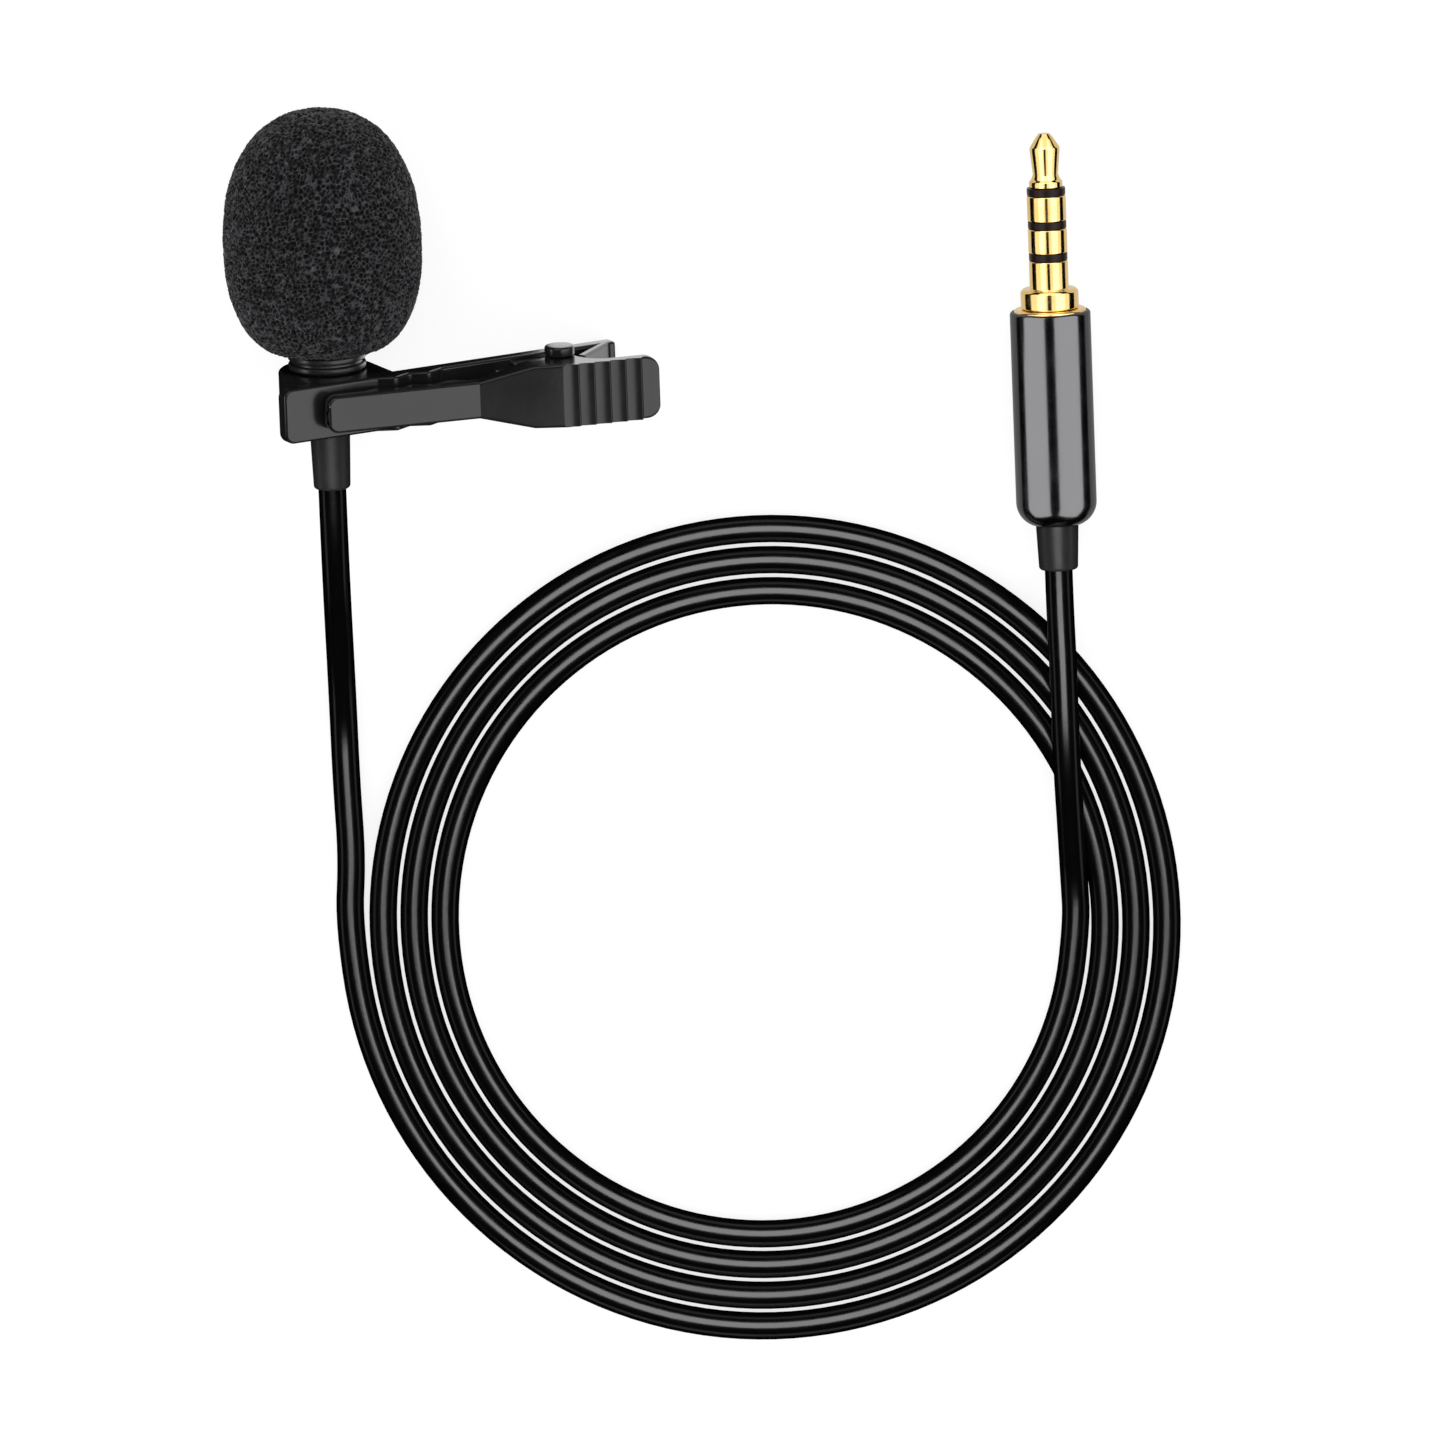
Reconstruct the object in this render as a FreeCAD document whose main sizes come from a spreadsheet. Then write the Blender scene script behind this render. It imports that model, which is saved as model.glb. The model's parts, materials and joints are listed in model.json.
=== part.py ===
import FreeCAD, Part
import math
import os

import Sketcher

# A lavalier microphone, lying on a table: a foam-covered microphone in a tie clip, a coiled
# cable and a four-pole 3.5 mm plug. Millimetres, +Z up, the table is at z = 0.
#
# Three frames are used, each with its own Placement into the table frame:
#   microphone: origin on the tube's axis at mid-height of the clip's ring, +Z towards the foam,
#               +X along the clip's arm, +Y away from the clip's lever
#   lever:      origin on the hinge pin, +X towards the thumb pad
#   plug:       origin at the shoulder that meets a socket, +Z towards the tip

os.makedirs("parts", exist_ok=True)
doc = FreeCAD.newDocument("LavalierMicrophone")

# ---------------------------------------------------------------- driving sizes

SIZES = [
    ("fit_gap", 0.02, "clearance between nested pieces"),
    ("running_gap", 0.05, "clearance of the clip's ring on the microphone tube"),
    ("foam_radius", 9.0, "foam: widest radius"),
    ("foam_bottom", 4.1, "foam: height of its flat bottom"),
    ("foam_wide", 13.95, "foam: height of its widest part"),
    ("foam_top", 26.8, "foam: height of its top"),
    ("foam_foot_round", 7.5, "foam: rounding towards the bottom"),
    ("foam_cap_round", 8.0, "foam: rounding of the top"),
    ("foam_fit_gap", 0.1, "foam: clearance on the microphone tube"),
    ("tube_radius", 3.0, "microphone tube: outer radius"),
    ("tube_bore", 2.5, "microphone tube: inner radius"),
    ("tube_bottom", -2.7, "microphone tube: lower end"),
    ("tube_top", 18.0, "microphone tube: upper end"),
    ("flange_radius", 3.5, "microphone tube: radius of the two flange rings"),
    ("flange_bottom", 2.6, "microphone tube: underside of the lower flange ring"),
    ("flange_thick", 0.55, "microphone tube: thickness of a flange ring"),
    ("flange_groove", 0.3, "microphone tube: groove between the flange rings"),
    ("flange_neck", 3.15, "microphone tube: radius in that groove"),
    ("o_ring_height", 15.2, "o-ring: height of its centre"),
    ("o_ring_wire", 0.16, "o-ring: radius of its section"),
    ("o_ring_groove", 0.3, "o-ring: depth of its groove"),
    ("grille_thick", 0.35, "grille cap: thickness of the top"),
    ("grille_skirt", 1.2, "grille cap: depth of the skirt inside the tube"),
    ("grille_hole", 0.3, "grille cap: radius of a hole"),
    ("grille_hole_circle", 1.3, "grille cap: radius of the ring of holes"),
    ("felt_thick", 0.3, "dust felt: thickness"),
    ("capsule_radius", 2.2, "capsule: outer radius"),
    ("capsule_height", 2.4, "capsule: height"),
    ("capsule_wall", 0.15, "capsule: wall"),
    ("capsule_inlet", 0.6, "capsule: radius of the sound inlet"),
    ("metal_edge", 0.1, "bevel on the edges of the microphone's metal parts"),
    ("plate_hole_ring", 0.8, "capsule: distance of the back plate's holes from the axis"),
    ("diaphragm_thick", 0.25, "capsule: thickness of the diaphragm ring"),
    ("diaphragm_rim", 0.35, "capsule: width of the diaphragm's ring and of the spacer ring"),
    ("film_thick", 0.05, "capsule: thickness of the diaphragm's film"),
    ("spacer_thick", 0.1, "capsule: thickness of the spacer"),
    ("back_plate_thick", 0.2, "capsule: thickness of the back plate"),
    ("holder_height", 1.1, "capsule: height of the back plate's holder"),
    ("holder_wall", 0.3, "capsule: wall of that holder"),
    ("board_thick", 0.3, "capsule: thickness of the circuit board"),
    ("jfet_side", 1.2, "capsule: side of the transistor"),
    ("jfet_height", 0.5, "capsule: height of the transistor"),
    ("boot_wall", 0.24, "capsule boot: wall"),
    ("wire_radius", 0.25, "inner wires: radius"),
    ("wire_offset", 0.32, "inner wires: distance from the cable's axis"),
    ("relief_bore", 0.65, "strain reliefs: radius of the wires' hole"),
    ("mic_relief_top", -0.9, "microphone strain relief: top, inside the tube"),
    ("mic_relief_radius", 1.82, "microphone strain relief: radius below the tube"),
    ("mic_relief_tip_radius", 1.65, "microphone strain relief: radius at its tip"),
    ("mic_relief_end", -8.5, "microphone strain relief: lower end"),
    ("relief_round", 0.3, "strain reliefs: rounding of the end"),
    ("ring_radius", 4.4, "clip: outer radius of the ring"),
    ("clip_height", 5.0, "clip: height of the ring and of the fixed arm"),
    ("clip_corner", 0.9, "clip: rounding of the fixed jaw's corners"),
    ("fixed_teeth", 1.9, "clip: where the fixed jaw's teeth start, from the tube's axis"),
    ("arm_back", 4.4, "clip: distance of the fixed arm's back face from the tube's axis"),
    ("arm_thick", 1.5, "clip: thickness of the fixed arm"),
    ("jaw_end", -7.2, "clip: left end of the fixed jaw"),
    ("arm_end", 26.0, "clip: handle end of the fixed arm"),
    ("rib_reach", 2.5, "clip: distance from the pin to the slanting rib"),
    ("rib_root", 0.6, "clip: how far the rib stands off the fixed arm at the handle's end"),
    ("rib_foot", 1.3, "clip: width of the rib at the handle's end"),
    ("rib_shoulder", 0.6, "clip: how far the rib's inner corner is set back along and across"),
    ("weld", 0.5, "clip: overlap of moulded features that make one body"),
    ("pin_along", 18.6, "clip: hinge pin's place along the fixed arm"),
    ("pin_off", 9.3, "clip: hinge pin's distance from the tube's axis"),
    ("pin_radius", 0.6, "hinge pin: radius"),
    ("pin_head_radius", 1.35, "hinge pin: radius of the head"),
    ("pin_head_height", 0.95, "hinge pin: height of the head"),
    ("pin_foot_radius", 1.0, "hinge pin: radius of the riveted foot"),
    ("pin_foot_height", 0.35, "hinge pin: height of the riveted foot"),
    ("pin_foot_bevel", 0.2, "hinge pin: bevel of the foot's edge"),
    ("pin_head_round", 0.25, "hinge pin: rounding of the head's edge"),
    ("lug_round", 1.3, "clip: radius of the hinge lugs round the pin"),
    ("lug_thick", 0.8, "clip: thickness of a hinge lug"),
    ("lug_root", 3.4, "clip: how far a lug's root reaches from the pin towards the jaw"),
    ("lug_gap", 0.05, "clip: gap between a lug and the lever's ear"),
    ("ear_round", 1.3, "lever: radius of the ears round the pin"),
    ("ear_thick", 0.85, "lever: thickness of an ear"),
    ("ear_weld", 0.4, "lever: overlap of an ear and the bar"),
    ("ear_start", -8.6, "lever: where the ears rise from the bar, from the pin"),
    ("ear_end", 3.4, "lever: where the ears end on the thumb pad, from the pin"),
    ("ear_hollow", 3.2, "lever: hollow curve of an ear towards the pad"),
    ("ear_sweep", 18.0, "lever: hollow curve of an ear towards the jaw"),
    ("lever_angle", 10.3, "lever: angle from the fixed arm, in degrees"),
    ("lever_tip", -22.3, "lever: jaw tip, along the lever from the pin"),
    ("lever_end", 8.1, "lever: thumb pad's end, along the lever from the pin"),
    ("lever_face", 0.75, "lever: distance of the bar's inner face from the pin's axis"),
    ("lever_thick", 1.5, "lever: thickness of the bar"),
    ("bar_half_height", 1.68, "lever: half the height of the bar"),
    ("pad_half_height", 2.85, "lever: half the height of the thumb pad"),
    ("pad_step", 1.9, "lever: how far the thumb pad stands out from the bar"),
    ("pad_corner", 1.25, "lever: rounding of the thumb pad's corners"),
    ("pad_tilt", 0.05, "lever: how much the pad's end is lower than its start"),
    ("step_start", -8.2, "lever: start of the outer face's step, from the pin"),
    ("step_end", -0.9, "lever: end of the outer face's step"),
    ("inner_step_start", -7.8, "lever: start of the inner face's step"),
    ("inner_step_end", 0.3, "lever: end of the inner face's step"),
    ("flare_start", -8.2, "lever: where the bar starts to widen to the pad"),
    ("flare_end", -3.4, "lever: where it has the pad's width"),
    ("tip_round", 0.2, "lever: rounding of the jaw tip's outer edge"),
    ("nose_round", 1.0, "lever: rounding of the jaw tip's corners"),
    ("lever_teeth", 3.7, "lever: where the teeth start, from the jaw's tip"),
    ("ridge_start", 0.5, "lever: first thumb ridge, from the pin"),
    ("ridge_rise", 0.15, "lever: width of a ridge's steep side"),
    ("ridge_pitch", 1.46, "lever: pitch of the thumb ridges"),
    ("ridge_depth", 0.26, "lever: depth of the thumb ridges"),
    ("ridge_hollow", 4.8, "lever: hollow curve of a ridge's long side"),
    ("tooth_pitch", 3.3, "jaws: pitch of the teeth"),
    ("tooth_depth", 0.85, "jaws: depth of the teeth"),
    ("spring_wire", 0.2, "torsion spring: radius of the wire"),
    ("spring_radius", 0.92, "torsion spring: radius of the coil's centre line"),
    ("spring_pitch", 0.42, "torsion spring: pitch of the coil"),
    ("spring_turns", 2.78, "torsion spring: number of turns"),
    ("spring_turned", 45.0, "torsion spring: where the coil starts, in degrees about the pin"),
    ("pad_leg", 5.4, "torsion spring: leg against the thumb pad"),
    ("arm_leg", 4.4, "torsion spring: leg against the fixed handle"),
    ("cable_radius", 1.25, "cable: radius"),
    ("coil_outer", 37.43, "coil: radius of the first strand, at the left"),
    ("coil_pitch", 2.79, "coil: pitch of the flat spiral"),
    ("coil_turns", 3.5, "coil: number of turns"),
    ("coil_x", 29.138, "coil: centre along X"),
    ("coil_y", -58.2, "coil: centre along Y"),
    ("coil_stretch", 1.24, "coil: how much longer it is than wide"),
    ("plug_radius", 1.75, "plug: radius of the contacts"),
    ("plug_length", 14.0, "plug: length of the contacts from shoulder to tip"),
    ("tip_base", 9.14, "plug: lower end of the tip contact"),
    ("band_width", 0.68, "plug: width of an insulator band"),
    ("band_one", 8.8, "plug: centre of the first insulator band"),
    ("band_two", 5.8, "plug: centre of the second insulator band"),
    ("band_three", 2.9, "plug: centre of the third insulator band"),
    ("contact_edge", 0.08, "plug: bevel on the edges of the contacts"),
    ("shoulder_in", 0.25, "plug tip: how much narrower its shoulder is than the contacts"),
    ("shoulder_top", 0.55, "plug tip: top of the shoulder, above the tip's base"),
    ("neck_in", 0.45, "plug tip: narrowing above the shoulder"),
    ("neck_low", 0.75, "plug tip: height of that narrowing"),
    ("waist_in", 0.62, "plug tip: narrowing at the waist"),
    ("waist_height", 1.2, "plug tip: height of the waist"),
    ("bulge_in", 0.4, "plug tip: narrowing at the bulge"),
    ("bulge_low", 3.3, "plug tip: height of the bulge"),
    ("bulge_top", 3.62, "plug tip: height where the cone starts"),
    ("cone_in", 0.98, "plug tip: narrowing at the cone's blunt end"),
    ("cone_drop", 0.34, "plug tip: depth of the blunt end"),
    ("nose_in", 1.25, "plug tip: narrowing at the very end"),
    ("rod_radius", 0.4, "plug: radius of the tip's rod"),
    ("rod_tail", 4.0, "plug: how far the tip's rod reaches below the ground stem"),
    ("tube_tail", 3.4, "plug: how far the first insulator's tube reaches below the ground stem"),
    ("tube_step", 1.6, "plug: how much shorter the next insulator's tube is"),
    ("ring_step", 0.8, "plug: how much shorter a ring's tube is than the insulator's"),
    ("inner_wall", 0.2, "plug: wall of the inner tubes"),
    ("collar_radius", 2.6, "plug: radius of the collar"),
    ("collar_height", 1.8, "plug: height of the collar"),
    ("collar_foot", 0.1, "plug: bevel of the collar's lower edge"),
    ("collar_bevel", 0.25, "plug: bevel of the collar's upper edge"),
    ("rim_radius", 3.25, "plug: radius of the gilt rim"),
    ("rim_height", 0.55, "plug: height of the gilt rim"),
    ("rim_foot", 0.05, "plug: bevel of the rim's lower edge"),
    ("rim_bevel", 0.15, "plug: bevel of the rim's upper edge"),
    ("stem_radius", 2.1, "plug: radius of the ground sleeve's stem"),
    ("stem_end", -5.2, "plug: lower end of that stem"),
    ("barrel_radius", 3.62, "barrel: outer radius"),
    ("barrel_bore", 2.95, "barrel: inner radius"),
    ("barrel_end", -21.37, "barrel: lower end"),
    ("barrel_round", 2.2, "barrel: rounding of the lower end"),
    ("barrel_foot", 2.3, "barrel: radius of the flat lower end"),
    ("barrel_round_height", 2.0, "barrel: height of that rounding"),
    ("barrel_mouth_round", 0.3, "barrel: rounding of the mouth"),
    ("barrel_hole", 2.1, "barrel: radius of the hole for the strain relief"),
    ("barrel_floor", 1.6, "barrel: thickness of the lower end"),
    ("barrel_lip", 0.35, "barrel: height of the mouth round the rim"),
    ("barrel_seat", 1.0, "barrel: thickness of the seat under the rim"),
    ("plug_relief_radius", 1.92, "plug strain relief: radius at the barrel"),
    ("plug_relief_tip_radius", 1.76, "plug strain relief: radius at its tip"),
    ("plug_relief_end", -25.53, "plug strain relief: lower end"),
    ("plug_relief_flange", 2.7, "plug strain relief: radius of the flange in the barrel"),
    ("plug_relief_flange_height", 1.0, "plug strain relief: height of that flange"),
    ("core_top", -11.0, "plug core: upper end of the moulded filling"),
    ("lug_end", -10.9, "plug: lower end of the solder lugs"),
    ("lug_width", 1.2, "plug: width of a solder lug"),
    ("lug_plate", 0.3, "plug: thickness of a solder lug"),
    ("mic_x", -10.145, "table: ring centre along X"),
    ("mic_y", -9.081, "table: ring centre along Y"),
    ("mic_z", 8.214, "table: ring centre above the table"),
    ("mic_lean", 2.0, "table: lean of the microphone to the left, in degrees"),
    ("mic_rise", 4.0, "table: rise of the foam end, in degrees"),
    ("clip_swing", 27.4, "table: turn of the clip about the tube, in degrees"),
    ("plug_x", 54.358, "table: plug shoulder along X"),
    ("plug_y", -0.091, "table: plug shoulder along Y"),
    ("plug_lean", 2.07, "table: lean of the plug to the left, in degrees"),
]

sheet = doc.addObject("Spreadsheet::Sheet", "Sizes")


class Size:
    """A length from the sheet, or worked out from it, with the expression that gives it."""

    def __init__(self, value, text):
        self.value = value
        self.text = text

    def combine(self, other, sign, result):
        text = other.text if isinstance(other, Size) else repr(float(other))
        return Size(result, f"({self.text} {sign} {text})")

    def __add__(self, other):
        return self.combine(other, "+", self.value + number(other))

    def __sub__(self, other):
        return self.combine(other, "-", self.value - number(other))

    def __mul__(self, other):
        return self.combine(other, "*", self.value * number(other))

    def __truediv__(self, other):
        return self.combine(other, "/", self.value / number(other))

    def __neg__(self):
        return Size(-self.value, f"(-1 * {self.text})")


def number(size):
    """The plain value of a Size, or of a number."""
    return size.value if isinstance(size, Size) else float(size)


class Dimensions:
    """The sheet's aliases as Sizes."""

    def __init__(self, rows):
        for row, (alias, value, note) in enumerate(rows, 1):
            sheet.set(f"A{row}", note)
            sheet.set(f"B{row}", str(value))
            sheet.setAlias(f"B{row}", alias)
            setattr(self, alias, Size(value, f"Sizes.{alias}"))


d = Dimensions(SIZES)
doc.recompute()
ZERO = Size(0.0, "0")
HALF = "half circle"
parts = []

# ---------------------------------------------------------------- helpers


def bind(target, name, size):
    """Binds a property or constraint to the sheet, or sets a plain number."""
    if isinstance(size, Size):
        target.setExpression(name, size.text)
    else:
        target.setExpression(name, repr(float(size)))


def new_body(label):
    body = doc.addObject("PartDesign::Body", label)
    body.Label = label
    return body


def plane(body, role):
    """An origin plane or axis of the body, found by its role."""
    for feature in body.Origin.OriginFeatures:
        if feature.Role == role:
            return feature
    raise RuntimeError(f"no {role} in {body.Label}")


def arc_between(start, end, radius, side):
    """The arc of that radius from start to end, with its centre to the left (+1) or right (-1)."""
    chord = end - start
    reach = math.sqrt(max(radius**2 - chord.Length**2 / 4, 0.0))
    normal = FreeCAD.Vector(-chord.y, chord.x, 0).normalize()
    centre = (start + end) * 0.5 + normal * (reach * side)
    circle = Part.Circle(centre, FreeCAD.Vector(0, 0, 1), radius)
    begin = math.atan2(start.y - centre.y, start.x - centre.x)
    finish = math.atan2(end.y - centre.y, end.x - centre.x)
    if side < 0:
        begin, finish = finish, begin
    return Part.ArcOfCircle(circle, begin, finish)


def outline(sketch, corners):
    """Closed outline. A corner is (x, y), or (x, y, radius, side) where the stretch to the next
    corner is an arc about a centre on its left (+1) or right (-1), or (x, y, HALF) where it is a
    half circle, anticlockwise, to a corner at the same height."""
    points = [FreeCAD.Vector(number(c[0]), number(c[1]), 0) for c in corners]
    first = sketch.GeometryCount
    count = len(corners)
    starts = []
    for i, corner in enumerate(corners):
        start = points[i]
        end = points[(i + 1) % count]
        if len(corner) == 2:
            shape = Part.LineSegment(start, end)
        elif len(corner) == 3:
            shape = arc_between(start, end, (end - start).Length / 2, 1)
        else:
            shape = arc_between(start, end, number(corner[2]), corner[3])
        sketch.addGeometry(shape, False)
        backwards = len(corner) == 4 and corner[3] < 0
        starts.append(2 if backwards else 1)
    for i, corner in enumerate(corners):
        here = first + i
        after = (i + 1) % count
        ends = (here, 3 - starts[i], first + after, starts[after])
        sketch.addConstraint(Sketcher.Constraint("Coincident", *ends))
        fix(sketch, here, starts[i], "DistanceX", corner[0])
        fix(sketch, here, starts[i], "DistanceY", corner[1])
        if len(corner) == 3:
            fix(sketch, here, 3, "DistanceY", corner[1])
        elif len(corner) == 4:
            made = sketch.addConstraint(Sketcher.Constraint("Radius", here, number(corner[2])))
            bind(sketch, f"Constraints[{made}]", corner[2])


def fix(sketch, shape, point, kind, place):
    """Fixes a point's distance from the sketch's origin along one axis."""
    made = sketch.addConstraint(Sketcher.Constraint(kind, -1, 1, shape, point, number(place)))
    bind(sketch, f"Constraints[{made}]", place)


def new_sketch(body, role, name):
    sketch = body.newObject("Sketcher::SketchObject", name)
    sketch.AttachmentSupport = [(plane(body, role), "")]
    sketch.MapMode = "FlatFace"
    return sketch


def turned(label, corners):
    """A body of revolution about its Z axis, from corners given as (radius, height)."""
    body = new_body(label)
    sketch = new_sketch(body, "XZ_Plane", f"{label}_profile")
    outline(sketch, corners)
    turn = body.newObject("PartDesign::Revolution", f"{label}_turn")
    turn.Profile = sketch
    turn.ReferenceAxis = (sketch, ["V_Axis"])
    turn.Angle = 360.0
    sketch.Visibility = False
    return body


def tube_corners(inner, outer, low, high):
    """Corners of a plain tube's profile."""
    return [(inner, low), (outer, low), (outer, high), (inner, high)]


def plate(body, role, name, outlines, low, high, subtract=False):
    """Flat outlines drawn on an origin plane, padded or pocketed between two heights above it."""
    sketch = new_sketch(body, role, f"{name}_outline")
    sketch.AttachmentOffset = FreeCAD.Placement(
        FreeCAD.Vector(0, 0, number(low)), FreeCAD.Rotation()
    )
    bind(sketch, ".AttachmentOffset.Base.z", low)
    for corners in outlines:
        outline(sketch, corners)
    kind = "PartDesign::Pocket" if subtract else "PartDesign::Pad"
    made = body.newObject(kind, name)
    made.Profile = sketch
    made.Reversed = subtract
    bind(made, "Length", high - low)
    sketch.Visibility = False
    return made


def drill(body, name, centres, radius, depth):
    """Round holes through the body about the XY plane."""
    sketch = new_sketch(body, "XY_Plane", f"{name}_centres")
    for x, y in centres:
        centre = FreeCAD.Vector(number(x), number(y), 0)
        circle = sketch.addGeometry(
            Part.Circle(centre, FreeCAD.Vector(0, 0, 1), number(radius)), False
        )
        fix(sketch, circle, 3, "DistanceX", x)
        fix(sketch, circle, 3, "DistanceY", y)
        made = sketch.addConstraint(Sketcher.Constraint("Radius", circle, number(radius)))
        bind(sketch, f"Constraints[{made}]", radius)
    hole = body.newObject("PartDesign::Pocket", name)
    hole.Profile = sketch
    hole.Midplane = True
    bind(hole, "Length", depth)
    sketch.Visibility = False
    return hole


def edges_where(feature, test):
    """Names of the feature's edges whose bounding box passes the test."""
    doc.recompute()
    names = []
    for i, edge in enumerate(feature.Shape.Edges, 1):
        if test(edge.BoundBox):
            names.append(f"Edge{i}")
    return names


def rounded(body, feature, name, radius, test):
    """Rounds the edges that pass the test."""
    made = body.newObject("PartDesign::Fillet", name)
    made.Base = (feature, edges_where(feature, test))
    bind(made, "Radius", radius)
    return made


def keep(shape_object, placement):
    """Lists the object as a sub-part and puts it in its place on the table."""
    shape_object.Placement = placement
    parts.append(shape_object)
    return shape_object


def cylinder(label, radius, low, high, x=0, y=0):
    """A straight round piece along Z, as a primitive in its own frame."""
    made = doc.addObject("Part::Cylinder", label)
    made.Label = label
    bind(made, "Radius", radius)
    bind(made, "Height", high - low)
    made.addProperty("App::PropertyVector", "Start", "Base", "lower end in the part's own frame")
    made.Start = FreeCAD.Vector(number(x), number(y), number(low))
    return made


def moved(x, y, z):
    return FreeCAD.Placement(FreeCAD.Vector(number(x), number(y), number(z)), FreeCAD.Rotation())


def turned_about(axis, angle):
    return FreeCAD.Placement(FreeCAD.Vector(), FreeCAD.Rotation(axis, number(angle)))


X_AXIS = FreeCAD.Vector(1, 0, 0)
Z_AXIS = FreeCAD.Vector(0, 0, 1)

# ---------------------------------------------------------------- the three frames

mic_frame = (
    moved(d.mic_x, d.mic_y, d.mic_z)
    * turned_about(Z_AXIS, d.mic_lean)
    * turned_about(X_AXIS, d.mic_rise - 90)
)
clip_frame = mic_frame * turned_about(Z_AXIS, d.clip_swing)
lever_frame = clip_frame * moved(d.pin_along, -d.pin_off, 0) * turned_about(Z_AXIS, -d.lever_angle)
plug_frame = (
    moved(d.plug_x, d.plug_y, d.barrel_radius)
    * turned_about(Z_AXIS, d.plug_lean)
    * turned_about(X_AXIS, -90)
)

# ---------------------------------------------------------------- windscreen


def windscreen():
    """Foam ball: domed top, full sides, flat foot, and a blind hole for the microphone."""
    hole = d.tube_radius + d.foam_fit_gap
    hole_top = d.tube_top + d.grille_thick + d.foam_fit_gap
    shoulder = d.foam_bottom + d.foam_foot_round
    cap_centre = d.foam_top - d.foam_cap_round
    rise = d.foam_top.value - d.foam_wide.value
    cap = d.foam_cap_round.value
    wide = d.foam_radius.value
    flank = (wide**2 + rise**2 - 2 * rise * cap) / (2 * wide - 2 * cap)
    reach = (flank * (cap_centre.value - d.foam_wide.value)) / (flank - cap)
    join_radius = wide - flank + math.sqrt(flank**2 - reach**2)
    corners = [
        (ZERO, hole_top),
        (hole, hole_top),
        (hole, d.foam_bottom),
        (hole + 0.6, d.foam_bottom, d.foam_foot_round, 1),
        (d.foam_radius, shoulder),
        (d.foam_radius, d.foam_wide, flank, 1),
        (join_radius, d.foam_wide.value + reach, d.foam_cap_round, 1),
        (ZERO, d.foam_top),
    ]
    return keep(turned("windscreen", corners), mic_frame)


# ---------------------------------------------------------------- microphone tube and capsule


def mic_housing():
    """Turned tube with two thin flange rings where it stands on the clip."""
    groove = d.flange_bottom + d.flange_thick
    upper = groove + d.flange_groove
    flange_top = upper + d.flange_thick
    seat_low = d.o_ring_height - d.o_ring_wire - d.fit_gap
    seat_high = d.o_ring_height + d.o_ring_wire + d.fit_gap
    seat_radius = d.tube_radius - d.o_ring_groove
    corners = [
        (d.tube_bore, d.tube_bottom),
        (d.tube_radius, d.tube_bottom),
        (d.tube_radius, d.flange_bottom),
        (d.flange_radius - d.metal_edge, d.flange_bottom),
        (d.flange_radius, d.flange_bottom + d.metal_edge),
        (d.flange_radius, groove - d.metal_edge),
        (d.flange_radius - d.metal_edge, groove),
        (d.flange_neck, groove),
        (d.flange_neck, upper),
        (d.flange_radius - d.metal_edge, upper),
        (d.flange_radius, upper + d.metal_edge),
        (d.flange_radius, flange_top - d.metal_edge),
        (d.flange_radius - d.metal_edge, flange_top),
        (d.tube_radius, flange_top),
        (d.tube_radius, seat_low),
        (seat_radius, seat_low),
        (seat_radius, seat_high),
        (d.tube_radius, seat_high),
        (d.tube_radius, d.tube_top),
        (d.tube_bore, d.tube_top),
    ]
    return keep(turned("mic_housing", corners), mic_frame)


def o_ring():
    """Rubber ring in the tube's groove, a little below the foam's bore."""
    ring = doc.addObject("Part::Torus", "o_ring")
    ring.Label = "o_ring"
    bind(ring, "Radius1", d.tube_radius - d.o_ring_groove + d.fit_gap + d.o_ring_wire)
    bind(ring, "Radius2", d.o_ring_wire)
    return keep(ring, mic_frame * moved(0, 0, d.o_ring_height))


def grille_cap():
    """Domeless cap with a ring of sound holes and a skirt inside the tube."""
    skirt = d.tube_bore - d.fit_gap
    corners = [
        (ZERO, d.tube_top),
        (skirt - 0.25, d.tube_top),
        (skirt - 0.25, d.tube_top - d.grille_skirt),
        (skirt, d.tube_top - d.grille_skirt),
        (skirt, d.tube_top),
        (d.tube_radius, d.tube_top),
        (d.tube_radius - d.metal_edge, d.tube_top + d.grille_thick),
        (ZERO, d.tube_top + d.grille_thick),
    ]
    body = turned("grille_cap", corners)
    centres = [(ZERO, ZERO)]
    for i in range(6):
        angle = math.radians(60 * i)
        centres.append((d.grille_hole_circle * math.cos(angle), d.grille_hole_circle * math.sin(angle)))
    drill(body, "sound_holes", centres, d.grille_hole, d.tube_top * 3)
    return keep(body, mic_frame)


CAPSULE_TOP = d.tube_top - d.grille_skirt - d.felt_thick - d.fit_gap * 2
INNER_RADIUS = d.capsule_radius - d.capsule_wall - d.fit_gap
INNER_TOP = CAPSULE_TOP - d.capsule_wall - d.fit_gap


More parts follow.
